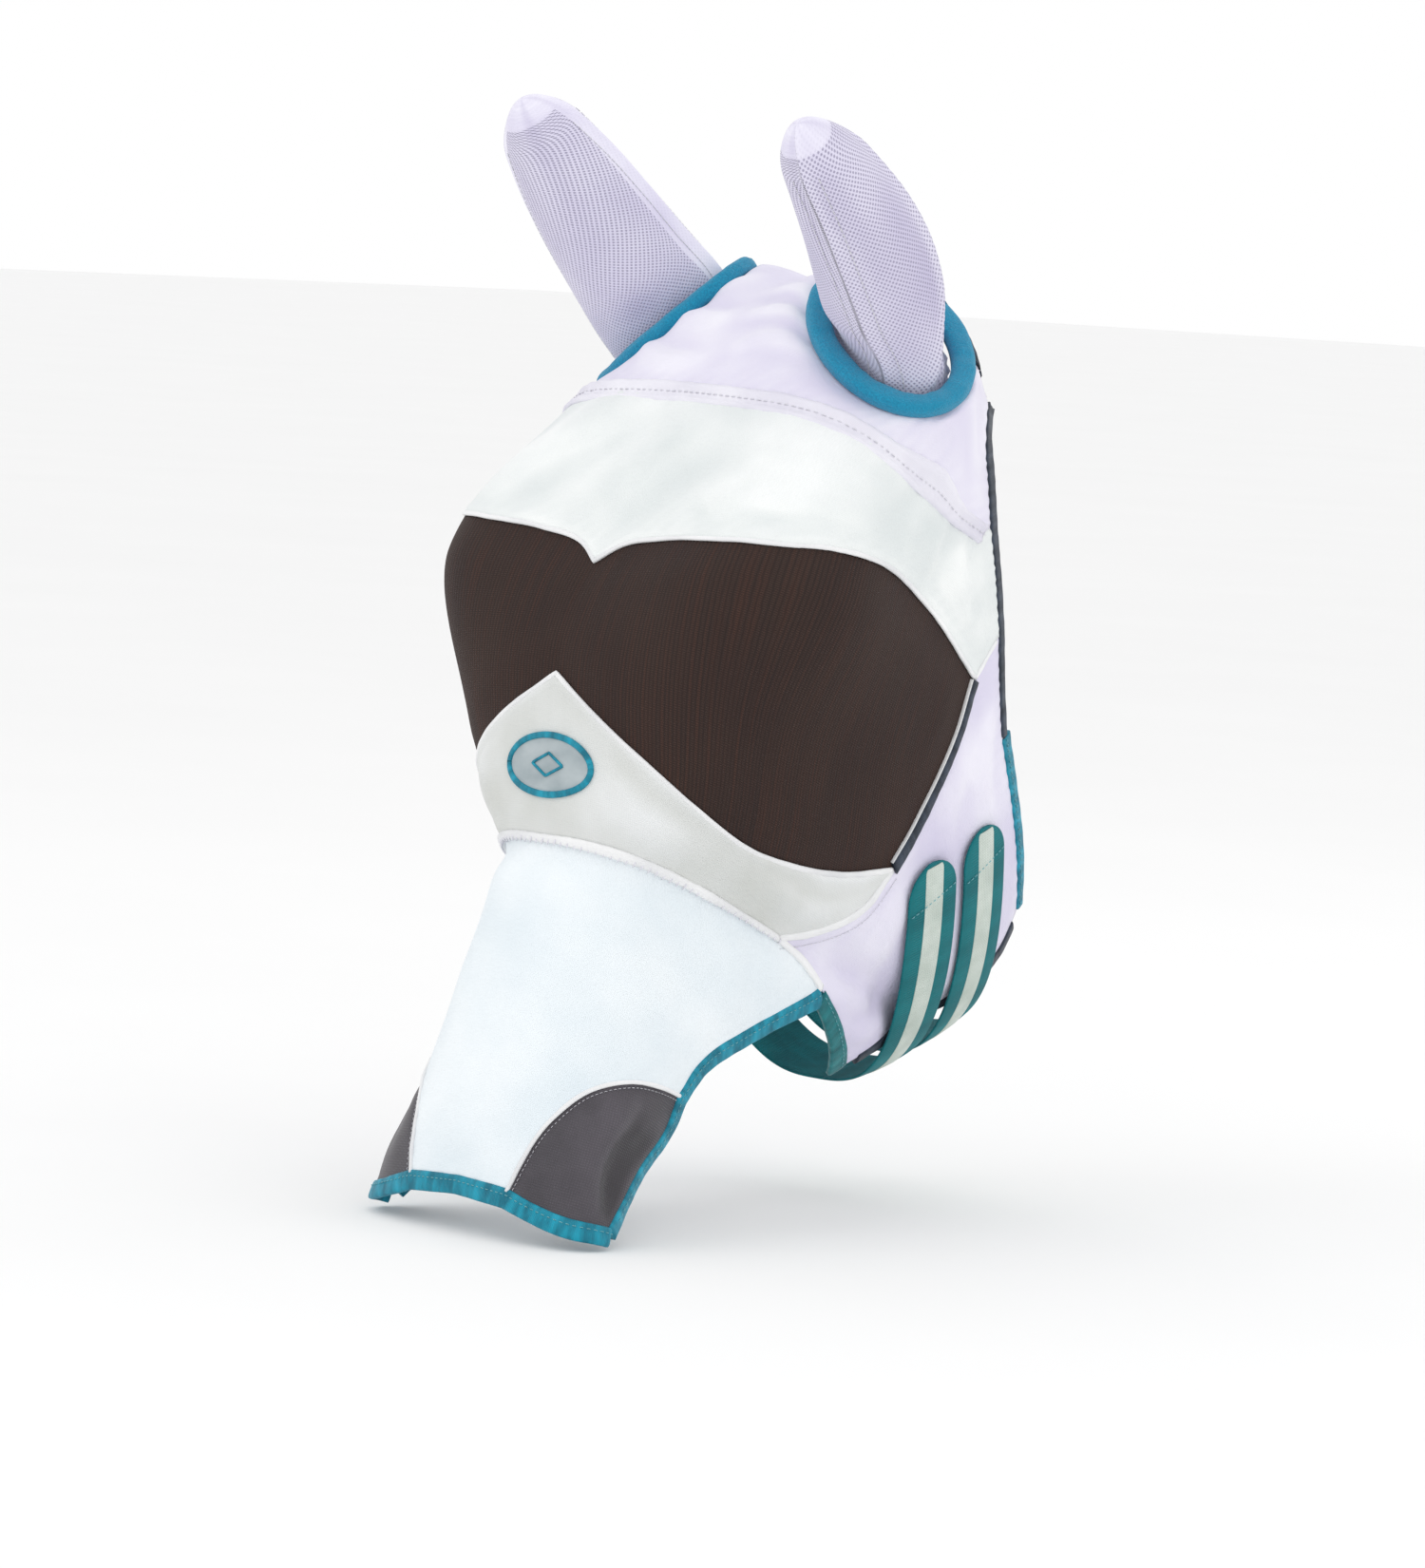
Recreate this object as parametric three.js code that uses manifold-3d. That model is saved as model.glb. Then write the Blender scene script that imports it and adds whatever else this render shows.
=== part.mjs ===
// Horse fly mask with ear covers and a nose extension, as separate sewn pieces.
// Millimetres, +Z up as worn. The horse faces -Y and its left (near) side is +X.
// The origin is at the poll, on the midline of the crown panel's inner face.
import * as THREE from "three";
import Module from "manifold-3d";

// ---------- driving dimensions ----------
const HEAD_TILT = THREE.MathUtils.degToRad(22); // the head's long axis, forward of straight down
const FABRIC = 1.6; // thickness of every panel
const GAP = 0.4; // clearance between pieces that face each other
const JOINT_GAP = 1.2; // from a strap's fold line to the fabric on each side of it
const SEAM_GAP = 1; // clearance between panels at a seam, where their facets don't line up
const CELL = 19; // largest facet of a panel
const FINE = 12; // facet length of straps, tapes and trim
const TAPE = { wide: 9, slim: 5.4, clear: 1.7, low: -0.4, high: 2.2 }; // edge bindings, outside the panel they close
const ROLL = { wide: 8, low: 3.8, high: 6 }; // padded seam rolls
const PIPING = { wide: 6, low: 2.6, high: 4.2 };
const EYE = { a: 184, s: 118, ra: 64, rs: 66, high: 21 }; // how the mesh stands off each eye
const NOSE_TUCK = { a: 343, wide: 13, deep: 8 }; // the crease where the nose panel starts
const JAW_ROUND = 0.52;
// Above this station the form rolls back over the poll, round an axis along X.
const CREST = { a: 30, y: 28, z: -77, radius: 75 };
const POLL = new THREE.Vector3(0, 1, -7); // where the crown rests on the poll, in the form's frame

// ear ring: a flat oval on each side of the poll
const RING = {
  centre: new THREE.Vector3(77, 13, -34),
  normal: new THREE.Vector3(0.54, -0.39, 0.745).normalize(),
  long: 58,
  short: 43,
  wide: 13,
  low: 3.4,
  high: 10.4,
};
const EAR = {
  fabric: 1.2,
  rise: 46, // how far the cover follows the ring's normal before it leans
  leftTip: new THREE.Vector3(102, -97, 82),
  rightTip: new THREE.Vector3(112, -88, 90), // mirrored with the right ear
  leftTwist: THREE.MathUtils.degToRad(-40), // the left ear is turned, and its seams with it
};

// The flat seat under the ring ends between two multiples of the ring's own size, and it
// doesn't lift what lies deeper below the ring.
const SEAT = { from: 1.04, to: 1.45, deep: 36, deepest: 62 };

const BADGE = { a: 303, s: 3, ra: 17, rs: 31, low: 2.0, high: 2.8, rim: 3.2 };

// A strap lies where a plane through X meets the jaw. Angles run in that plane round
// its centre, from the near side (0) under the jaw (90) to the far side (180).
const STRAP = {
  wide: 40,
  low: 3.8,
  high: 5.4,
  stripe: 15,
  stripeLow: 5.7,
  stripeHigh: 6.3,
  top: -11, // the rounded end on the near cheek
  bend: 62, // the near edge of the jaw, where the strap curls up
  root: 113, // the far edge of the jaw, where the strap swings
  sewn: 137, // the end that is sewn on the far cheek
  pad: 44, // length of the loop pad
  padFrom: 12, // from the strap's tip to the loop pad, so its corners stay under the rounded end
  padInset: 2, // from the loop pad's ends to the hook pad's
};
const STRAPS = {
  front: { centre: [54, -330], down: [0.32, -0.95] }, // y and z of the centre, and which way is down
  rear: { centre: [98, -312], down: [0.32, -0.95] }, // parallel to the front one, so they open side by side
};

const COLOURS = {
  lycra: 0xe6e3f1,
  ripstop: 0xe9eceb,
  nose: 0xe4edf0,
  roll: 0xe9e7f0,
  mesh: 0x3a2c29,
  insert: 0x4a464c,
  navy: 0x3a4454,
  teal: 0x139ab5,
  darkTeal: 0x0c7c80,
  fleece: 0x1590b0,
  webbing: 0xc9d3cb,
  earMesh: 0xe2dff0,
  hook: 0xd5d8da,
  badge: 0xc3ced2,
};

// ---------- the head form ----------
// a: millimetres down the face from the poll. s: millimetres round the head from the
// middle of the face, positive to the near side. Each guide line has one value per station.
const FIRST_STATION = -60;
const STATION_STEP = 60;
const GUIDES = {
  dorsalN: [-44, 0, 24, 44, 56, 62, 48, 36, 30, 20, 8, -4],
  shoulderX: [40, 48, 66, 84, 88, 76, 54, 34, 36, 40, 50, 54],
  shoulderN: [-44, 0, 24, 44, 56, 60, 44, 30, 26, 18, 8, -6],
  sideX: [70, 92, 114, 133, 134, 122, 104, 74, 74, 82, 94, 96],
  sideN: [-70, -30, -8, 8, 12, 8, -6, -26, -22, -18, -14, -20],
  lowerX: [70, 88, 94, 98, 98, 96, 90, 78, 64, 62, 68, 68],
  lowerN: [-120, -120, -140, -165, -190, -210, -200, -160, -100, -64, -50, -50],
  ventralN: [-180, -200, -230, -260, -290, -320, -314, -262, -180, -116, -86, -80],
};
const DOWN_FACE = new THREE.Vector3(0, -Math.sin(HEAD_TILT), -Math.cos(HEAD_TILT));
const OUT_OF_FACE = new THREE.Vector3(0, -Math.cos(HEAD_TILT), Math.sin(HEAD_TILT));
const RING_LONG = new THREE.Vector3(0.756, -0.162, -0.634);
RING_LONG.addScaledVector(RING.normal, -RING_LONG.dot(RING.normal)).normalize();
const RING_SHORT = new THREE.Vector3().crossVectors(RING_LONG, RING.normal);

const clamp = THREE.MathUtils.clamp;

function hermite(p0, p1, p2, p3, f) {
  const bend = (-p0 + 3 * p1 - 3 * p2 + p3) * f ** 3;
  return 0.5 * (2 * p1 + (p2 - p0) * f + (2 * p0 - 5 * p1 + 4 * p2 - p3) * f ** 2 + bend);
}

function guide(name, a) {
  const values = GUIDES[name];
  const t = (a - FIRST_STATION) / STATION_STEP;
  const i = clamp(Math.floor(t), 0, values.length - 2);
  const value = (k) => values[clamp(k, 0, values.length - 1)];
  return hermite(value(i - 1), value(i), value(i + 1), value(i + 2), t - i);
}

// The section of the head at station a, from the middle of the face to the middle of the
// jaw: a uniform cubic B-spline in the x, n plane with the distance along it.
const sections = new Map();
function section(a) {
  const key = a.toFixed(2);
  if (sections.has(key)) return sections.get(key);
  const g = Object.fromEntries(Object.keys(GUIDES).map((name) => [name, guide(name, a)]));
  const control = [
    [-g.shoulderX, g.shoulderN],
    [0, g.dorsalN],
    [g.shoulderX, g.shoulderN],
    [g.sideX, g.sideN],
    [g.lowerX, g.lowerN],
    [JAW_ROUND * g.lowerX, g.ventralN],
    [0, g.ventralN],
    [-JAW_ROUND * g.lowerX, g.ventralN],
  ];
  const spans = 5;
  const steps = 20;
  const points = [];
  for (let k = 0; k <= spans * steps; k++) {
    const i = Math.min(Math.floor(k / steps), spans - 1);
    const f = k / steps - i;
    const weights = [(1 - f) ** 3, 3 * f ** 3 - 6 * f ** 2 + 4, -3 * f ** 3 + 3 * f ** 2 + 3 * f + 1, f ** 3];
    const sum = (axis) => weights.reduce((total, w, j) => total + (w / 6) * control[i + j][axis], 0);
    points.push([sum(0), sum(1)]);
  }
  const along = [0];
  for (let k = 1; k < points.length; k++) {
    const [x, n] = points[k];
    along.push(along[k - 1] + Math.hypot(x - points[k - 1][0], n - points[k - 1][1]));
  }
  const made = { points, along };
  sections.set(key, made);
  return made;
}

function plainForm(a, s) {
  if (a < CREST.a) return rollBack(plainForm(CREST.a, s), (CREST.a - a) / CREST.radius);
  const { points, along } = section(a);
  const reach = Math.min(Math.abs(s), along.at(-1));
  let k = 1;
  while (k < along.length - 1 && along[k] < reach) k++;
  const f = (reach - along[k - 1]) / (along[k] - along[k - 1]);
  const [x0, n0] = points[k - 1];
  const [x1, n1] = points[k];
  const length = Math.hypot(x1 - x0, n1 - n0);
  const eye = ((a - EYE.a) / EYE.ra) ** 2 + ((reach - EYE.s) / EYE.rs) ** 2;
  const out = EYE.high * Math.exp(-1.1 * eye) - NOSE_TUCK.deep * Math.exp(-(((a - NOSE_TUCK.a) / NOSE_TUCK.wide) ** 2));
  const x = x0 + (x1 - x0) * f - ((n1 - n0) / length) * out;
  const n = n0 + (n1 - n0) * f + ((x1 - x0) / length) * out;
  return new THREE.Vector3(x, 0, 0).addScaledVector(DOWN_FACE, a).addScaledVector(OUT_OF_FACE, n);
}

function rollBack(p, angle) {
  const [y, z] = [p.y - CREST.y, p.z - CREST.z];
  p.y = CREST.y + y * Math.cos(angle) + z * Math.sin(angle);
  p.z = CREST.z + z * Math.cos(angle) - y * Math.sin(angle);
  return p;
}

// The form with a flat seat under each ear ring, from which the fabric falls back to the head.
function form(a, s) {
  const p = plainForm(a, Math.abs(s));
  const offset = p.clone().sub(RING.centre);
  const height = offset.dot(RING.normal);
  const far = Math.hypot(offset.dot(RING_LONG) / RING.long, offset.dot(RING_SHORT) / RING.short);
  const near = 1 - clamp((far - SEAT.from) / (SEAT.to - SEAT.from), 0, 1);
  const reach = 1 - THREE.MathUtils.smoothstep(Math.abs(height), SEAT.deep, SEAT.deepest);
  p.addScaledVector(RING.normal, -height * near ** 1.5 * reach);
  if (s < 0) p.x = -p.x;
  return p;
}

// A point out millimetres off the form.
function over(a, s, out) {
  const alongA = form(a + 1, s).sub(form(a - 1, s));
  const alongS = form(a, s + 1).sub(form(a, s - 1));
  return form(a, s).addScaledVector(alongA.cross(alongS).normalize(), out);
}

// ---------- paths on the form, as lists of [a, s] ----------
function smooth(points) {
  const curve = new THREE.CatmullRomCurve3(
    points.map(([a, s]) => new THREE.Vector3(a, s, 0)),
    false,
    "chordal",
  );
  const count = Math.max(2, Math.ceil(curve.getLength() / 3));
  return curve.getSpacedPoints(count).map((p) => [p.x, p.y]);
}

function lengths(path) {
  const sums = [0];
  for (let k = 1; k < path.length; k++) {
    sums.push(sums[k - 1] + Math.hypot(path[k][0] - path[k - 1][0], path[k][1] - path[k - 1][1]));
  }
  return sums;
}

const lengthOf = (path) => lengths(path).at(-1);

function pointOn(path, t) {
  const sums = lengths(path);
  const reach = clamp(t, 0, 1) * sums.at(-1);
  let k = 1;
  while (k < sums.length - 1 && sums[k] < reach) k++;
  const f = (reach - sums[k - 1]) / Math.max(sums[k] - sums[k - 1], 1e-9);
  return [0, 1].map((axis) => path[k - 1][axis] + (path[k][axis] - path[k - 1][axis]) * f);
}

const joined = (...paths) => paths.flatMap((path, k) => (k ? path.slice(1) : path));
const reversed = (path) => [...path].reverse();
// from a half that starts on the midline to the whole path, far side first
const bothSides = (half) => [...reversed(half).map(([a, s]) => [a, -s]), ...half.slice(1)];

// ---------- seams and edges of the near half ----------
const CORNER = { browRear: [93, 247], browTip: [140, 302], meshRear: [172, 289], meshLow: [287, 247] };
const SEAM_END = [359, 205];
const TONGUE = [345, 166];
const STRAP_ZONE = [188, 342]; // where the rear edge's navy binding gives way to teal
const REAR_LOW = [262, 412];
const JAW_FRONT = [384, 268];
const INSERT_REAR = [446, 127];
const INSERT_FRONT = [527, 36];
const NOSE_CORNER = [531, 98];

const rearCrown = smooth([[-58, 0], [-60, 50], [-58, 95], [-44, 130], [-18, 154], [12, 170], [42, 188], [68, 218], CORNER.browRear]);
const rearBrow = smooth([CORNER.browRear, [116, 276], CORNER.browTip]);
const rearCheek = smooth([CORNER.browTip, [164, 322], STRAP_ZONE]);
const rearThroat = smooth([STRAP_ZONE, [218, 375], [244, 399], REAR_LOW]);
const browSeam = smooth([[78, 0], [79, 40], [81, 90], [85, 118], [92, 161], [95, 207], CORNER.browRear]);
const meshTop = smooth([[192, 0], [182, 14], [176, 47], [173.5, 86], [169, 108], [162, 124], [155, 150], [156, 216], CORNER.meshRear]);
const meshRear = smooth([CORNER.meshRear, [203, 289], [232, 281], [261, 266], CORNER.meshLow]);
const meshLow = smooth([[256, 0], [273, 28], [290, 58], [305, 90], [313, 122], [311, 160], [303, 200], CORNER.meshLow]);
const noseSeam = smooth([[339, 0], [338, 67], [340, 103], TONGUE]);
const noseSeamEnd = smooth([TONGUE, [349, 184], SEAM_END]);
const faceLow = smooth([TONGUE, [340, 178], [329, 200], [309, 229], CORNER.meshLow]);
const noseLow = smooth([SEAM_END, [378, 181], [399, 159], [427, 134], INSERT_REAR]);
const insertTop = smooth([INSERT_REAR, [447, 110], [452, 86], [464, 66], [486, 50], INSERT_FRONT]);
const insertLow = smooth([INSERT_REAR, [466, 128], [492, 114], NOSE_CORNER]);
const insertFront = smooth([NOSE_CORNER, [534, 74], [531, 52], INSERT_FRONT]);
const noseFront = smooth([[525, 0], INSERT_FRONT]);
const navyRear = bothSides(joined(rearCrown, rearBrow, rearCheek));
const cheekFront = smooth([SEAM_END, [370, 232], JAW_FRONT]);
const jawEdge = smooth([JAW_FRONT, [362, 288], [338, 326], [312, 362], [284, 400], REAR_LOW]);

// ---------- solids ----------
// Joins rings of points into one closed body. Both ends are closed unless it is a loop.
function loft(rings, loop = false) {
  const size = rings[0].length;
  const faces = [];
  const quad = (p, q, r, s) => faces.push(p, q, r, p, r, s);
  const last = loop ? rings.length : rings.length - 1;
  for (let i = 0; i < last; i++) {
    const here = i * size;
    const next = ((i + 1) % rings.length) * size;
    for (let k = 0; k < size; k++) {
      const side = (k + 1) % size;
      quad(here + k, here + side, next + side, next + k);
    }
  }
  for (let k = 0; !loop && k < size / 2 - 1; k++) {
    const end = (rings.length - 1) * size;
    quad(size - 1 - k, size - 2 - k, k + 1, k);
    quad(end + k, end + k + 1, end + size - 2 - k, end + size - 1 - k);
  }
  return outward(rings.flat(), faces);
}

// Makes the geometry with its faces pointing out.
function outward(points, faces) {
  let volume = 0;
  for (let k = 0; k < faces.length; k += 3) {
    const [p, q, r] = [points[faces[k]], points[faces[k + 1]], points[faces[k + 2]]];
    volume += p.dot(new THREE.Vector3().crossVectors(q, r));
  }
  const index = volume > 0 ? faces : faces.map((v, k) => faces[k - (k % 3) + 2 - (k % 3)]);
  const geometry = new THREE.BufferGeometry().setFromPoints(points);
  geometry.setIndex(index);
  geometry.computeVertexNormals();
  return geometry;
}

function mirrored(geometry) {
  const at = geometry.getAttribute("position");
  const points = Array.from({ length: at.count }, (_, k) => new THREE.Vector3(-at.getX(k), at.getY(k), at.getZ(k)));
  return outward(points, Array.from(geometry.index.array));
}

// A panel between four paths: top and bottom run the same way, left and right run down.
function panel({ top, bottom, left, right, low = 0, high = FABRIC, cell = CELL, trim = SEAM_GAP / 2 }) {
  const mix = (p, q, t) => [0, 1].map((axis) => p[axis] + (q[axis] - p[axis]) * t);
  const leftPath = left ?? [top[0], bottom[0]];
  const rightPath = right ?? [top.at(-1), bottom.at(-1)];
  const place = (u, v) => {
    const across = mix(pointOn(top, u), pointOn(bottom, u), v);
    const down = mix(pointOn(leftPath, v), pointOn(rightPath, v), u);
    const corners = mix(mix(top[0], top.at(-1), u), mix(bottom[0], bottom.at(-1), u), v);
    return [0, 1].map((axis) => across[axis] + down[axis] - corners[axis]);
  };
  const long = Math.max(lengthOf(top), lengthOf(bottom));
  const columns = 2 * Math.ceil(long / cell / 2);
  const widest = Math.max(...[0, 0.25, 0.5, 0.75, 1].map((u) => lengthOf([pointOn(top, u), pointOn(bottom, u)])));
  const rows = Math.max(2, Math.ceil(widest / cell));
  const rings = [];
  for (let i = 0; i <= columns; i++) {
    const u = clamp(i / columns, trim / long, 1 - trim / long);
    const wide = Math.max(lengthOf([place(u, 0), place(u, 0.5), place(u, 1)]), 3 * trim);
    const column = [];
    for (let j = 0; j <= rows; j++) column.push(place(u, clamp(j / rows, trim / wide, 1 - trim / wide)));
    const outer = column.map(([a, s]) => over(a, s, high));
    const inner = column.map(([a, s]) => over(a, s, low));
    rings.push([...outer, ...inner.reverse()]);
  }
  return loft(rings);
}

// Sweeps a profile of [across, out] points along a path; across is to the side that side picks.
function strip(path, profile, { side = 1, cell = FINE, loop = false, trim = GAP / 2 } = {}) {
  const long = lengthOf(path);
  const count = Math.ceil(long / cell);
  const rings = [];
  for (let i = 0; i < (loop ? count : count + 1); i++) {
    const t = loop ? i / count : clamp(i / count, trim / long, 1 - trim / long);
    const back = pointOn(path, loop ? (t - 1 / long + 1) % 1 : Math.max(0, t - 1 / long));
    const ahead = pointOn(path, loop ? (t + 1 / long) % 1 : Math.min(1, t + 1 / long));
    const [a, s] = pointOn(path, t);
    const turn = Math.hypot(ahead[0] - back[0], ahead[1] - back[1]);
    const [sideA, sideS] = [(-side * (ahead[1] - back[1])) / turn, (side * (ahead[0] - back[0])) / turn];
    rings.push(profile.map(([across, out]) => over(a + sideA * across, s + sideS * across, out)));
  }
  return loft(rings, loop);
}

function tapeProfile(wide) {
  return [[TAPE.clear, TAPE.low], [TAPE.clear, TAPE.high], [wide, TAPE.high - 0.5], [wide, 0]];
}

// the same tape with its clearance all round, to cut it out of the panel it closes
function grownTape(wide) {
  const [near, far] = [TAPE.clear - GAP, wide + GAP];
  return [[near, TAPE.low - 2], [near, TAPE.high + GAP], [far, TAPE.high + GAP], [far, TAPE.low - 2]];
}

// a low rounded rib centred on a seam
function ribProfile({ wide, low, high }) {
  return [[-wide / 2, low], [-wide / 3, high], [wide / 3, high], [wide / 2, low]];
}

const wasm = await Module();
wasm.setup();

function toSolid(geometry) {
  const vertProperties = new Float32Array(geometry.getAttribute("position").array);
  const triVerts = new Uint32Array(geometry.index.array);
  return new wasm.Manifold(new wasm.Mesh({ numProp: 3, vertProperties, triVerts }));
}

function toGeometry(solid) {
  const { vertProperties, triVerts } = solid.getMesh();
  const geometry = new THREE.BufferGeometry();
  geometry.setAttribute("position", new THREE.BufferAttribute(vertProperties, 3));
  geometry.setIndex(new THREE.BufferAttribute(triVerts, 1));
  geometry.computeVertexNormals();
  return geometry;
}

// ---------- the model ----------
const mask = new THREE.Group();

function add(name, geometry, colour, roughness = 0.85) {
  const material = new THREE.MeshStandardMaterial({ color: colour, roughness, metalness: 0 });
  const mesh = new THREE.Mesh(geometry, material);
  mesh.name = name;
  mask.add(mesh);
}

// The near piece, which is the horse's left one, and its mirror image.
function addPair(name, geometry, colour, roughness) {
  add(`${name}_left`, geometry, colour, roughness);
  add(`${name}_right`, mirrored(geometry), colour, roughness);
}

// ---------- ear rings and ear covers ----------
function onRing(angle, long, short, out) {
  return RING.centre
    .clone()
    .addScaledVector(RING_LONG, long * Math.cos(angle))
    .addScaledVector(RING_SHORT, short * Math.sin(angle))
    .addScaledVector(RING.normal, out);
}

function ovalRing(profile, steps = 30) {
  const rings = [];
  for (let i = 0; i < steps; i++) {
    const angle = (i / steps) * 2 * Math.PI;
    rings.push(profile.map(([inward, out]) => onRing(angle, RING.long - inward, RING.short - inward, out)));
  }
  return loft(rings, true);
}

function earHole() {
  const steps = 36;
  const ends = [-30, 30].map((out) =>
    Array.from({ length: steps }, (_, i) =>
      onRing((i / steps) * 2 * Math.PI, RING.long - RING.wide, RING.short - RING.wide, out),
    ),
  );
  return loft(ends);
}

// Half of the long side and half of the short side of the ear cover, from base to tip.
const EAR_LONG = [38.5, 39.5, 39.5, 37.5, 35.5, 33, 29.5, 23, 7];
const EAR_SHORT = [23.5, 25.5, 29.5, 34, 33.5, 31, 27, 21, 7];

function alongEar(values, t) {
  const at = t * (values.length - 1);
  const i = clamp(Math.floor(at), 0, values.length - 2);
  const value = (k) => values[clamp(k, 0, values.length - 1)];
  return hermite(value(i - 1), value(i), value(i + 1), value(i + 2), at - i);
}

function onEar(tip, t, angle, inward) {
  const foot = RING.centre.clone().addScaledVector(RING.normal, -3);
  const knee = RING.centre.clone().addScaledVector(RING.normal, EAR.rise);
  const spine = new THREE.QuadraticBezierCurve3(foot, knee, tip);
  const way = spine.getTangent(t);
  const longWay = RING_LONG.clone().addScaledVector(way, -RING_LONG.dot(way)).normalize();
  const shortWay = new THREE.Vector3().crossVectors(way, longWay);
  return spine
    .getPoint(t)
    .addScaledVector(longWay, (alongEar(EAR_LONG, t) - inward) * Math.cos(angle))
    .addScaledVector(shortWay, (alongEar(EAR_SHORT, t) - inward) * Math.sin(angle));
}

// One half of the cover between its two seams, front or back.
function earHalf(tip, from, to) {
  const rows = 9;
  const columns = 6;
  const rings = [];
  for (let i = 0; i <= rows; i++) {
    const t = (i / rows) * 0.985;
    const seamGap = GAP / 2 / alongEar(EAR_SHORT, t);
    const angles = Array.from({ length: columns + 1 }, (_, j) => from + seamGap + ((to - from - 2 * seamGap) * j) / columns);
    const outer = angles.map((angle) => onEar(tip, t, angle, 0));
    const fabric = Math.min(EAR.fabric, alongEar(EAR_SHORT, t) - 1);
    const inner = angles.map((angle) => onEar(tip, t, angle, fabric));
    rings.push([...outer, ...inner.reverse()]);
  }
  return loft(rings);
}

// ---------- jaw straps ----------
function insideForm(p) {
  const a = p.dot(DOWN_FACE);
  const n = p.dot(OUT_OF_FACE);
  const { points } = section(a);
  const outline = [...points, ...reversed(points).map(([x, m]) => [-x, m])];
  let inside = false;
  for (let k = 0; k < outline.length; k++) {
    const [x0, n0] = outline[k];
    const [x1, n1] = outline[(k + 1) % outline.length];
    if (n0 > n !== n1 > n && p.x < x0 + ((x1 - x0) * (n - n0)) / (n1 - n0)) inside = !inside;
  }
  return inside;
}

// Where a ray in the strap's plane leaves the form. aside moves the plane along the strap's width.
function onJaw(strap, angle, aside) {
  const down = new THREE.Vector3(0, ...strap.down).normalize();
  const width = new THREE.Vector3().crossVectors(new THREE.Vector3(1, 0, 0), down);
  const centre = new THREE.Vector3(0, ...strap.centre).addScaledVector(width, aside);
  const ray = new THREE.Vector3(Math.cos(angle), 0, 0).addScaledVector(down, Math.sin(angle));
  let [near, far] = [10, 220];
  for (let k = 0; k < 26; k++) {
    const middle = (near + far) / 2;
    if (insideForm(centre.clone().addScaledVector(ray, middle))) near = middle;
    else far = middle;
  }
  return centre.addScaledVector(ray, near);
}

function overJaw(strap, angle, aside, out) {
  const step = 0.02;
  const along = onJaw(strap, angle + step, aside).sub(onJaw(strap, angle - step, aside));
  const across = onJaw(strap, angle, aside + 2).sub(onJaw(strap, angle, aside - 2));
  return onJaw(strap, angle, aside).addScaledVector(across.cross(along).normalize(), -out);
}

// The strap's middle line as angles at an even spacing, with the length at each.
function strapAngles(strap, from, to) {
  const count = 120;
  const angles = Array.from({ length: count + 1 }, (_, k) => THREE.MathUtils.degToRad(from + ((to - from) * k) / count));
  const points = angles.map((angle) => onJaw(strap, angle, 0));
  const along = [0];
  for (let k = 1; k <= count; k++) along.push(along[k - 1] + points[k].distanceTo(points[k - 1]));
  return { angles, along, long: along.at(-1) };
}

function angleAt({ angles, along }, reach) {
  let k = 1;
  while (k < along.length - 1 && along[k] < reach) k++;
  const f = (reach - along[k - 1]) / (along[k] - along[k - 1]);
  return angles[k - 1] + (angles[k] - angles[k - 1]) * f;
}

// A band on the jaw. round is the radius of its rounded first end, which is zero for a square one.
function band(strap, { from, to, wide, low, high, round = 0, start = JOINT_GAP, long = Infinity }) {
  const line = strapAngles(strap, from, to);
  const end = Math.min(line.long - JOINT_GAP, start + long);
  const first = start + (round ? 0.4 : 0);
  const count = Math.ceil((end - first) / FINE);
  const stops = Array.from({ length: count + 1 }, (_, i) => first + ((end - first) * i) / count);
  if (round) stops.splice(1, 0, first + 1.5, first + 3.5);
  const rings = [...new Set(stops)].sort((p, q) => p - q).map((reach) => {
    const left = Math.max(0, round - (reach - start));
    const half = round ? wide / 2 - round + Math.sqrt(round ** 2 - left ** 2) : wide / 2;
    const asides = [-half, -half / 3, half / 3, half];
    const outer = asides.map((aside) => overJaw(strap, angleAt(line, reach), aside, high));
    const inner = asides.map((aside) => overJaw(strap, angleAt(line, reach), aside, low));
    return [...outer, ...inner.reverse()];
  });
  return loft(rings);
}

// ---------- pieces ----------
function addCrown() {
  const whole = toSolid(panel({ top: bothSides(rearCrown), bottom: bothSides(browSeam), trim: 1, cell: 14 }));
  const hole = earHole();
  const cuts = [hole, mirrored(hole), strip(navyRear, grownTape(TAPE.slim), { trim: 0.2 })];
  const pieces = cuts.reduce((solid, cut) => solid.subtract(toSolid(cut)), whole).decompose();
  const crown = pieces.sort((p, q) => q.volume() - p.volume())[0]; // the rest are offcuts
  add("crown_panel", toGeometry(crown), COLOURS.lycra);
  add("brow_seam_roll", strip(bothSides(browSeam), ribProfile(ROLL)), COLOURS.roll);
}

function addEars() {
  const { wide, low, high } = RING;
  const fleece = [[0, low], [1, high - 3], [4, high], [wide - 4, high], [wide - 1, high - 3], [wide, low]];
  addPair("ear_ring", ovalRing(fleece), COLOURS.fleece, 0.95);
  const halves = { ear_front: [0, Math.PI], ear_back: [Math.PI, 2 * Math.PI] };
  for (const [name, [from, to]] of Object.entries(halves)) {
    add(`${name}_left`, earHalf(EAR.leftTip, from + EAR.leftTwist, to + EAR.leftTwist), COLOURS.earMesh);
    add(`${name}_right`, mirrored(earHalf(EAR.rightTip, from, to)), COLOURS.earMesh);
  }
}

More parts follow.
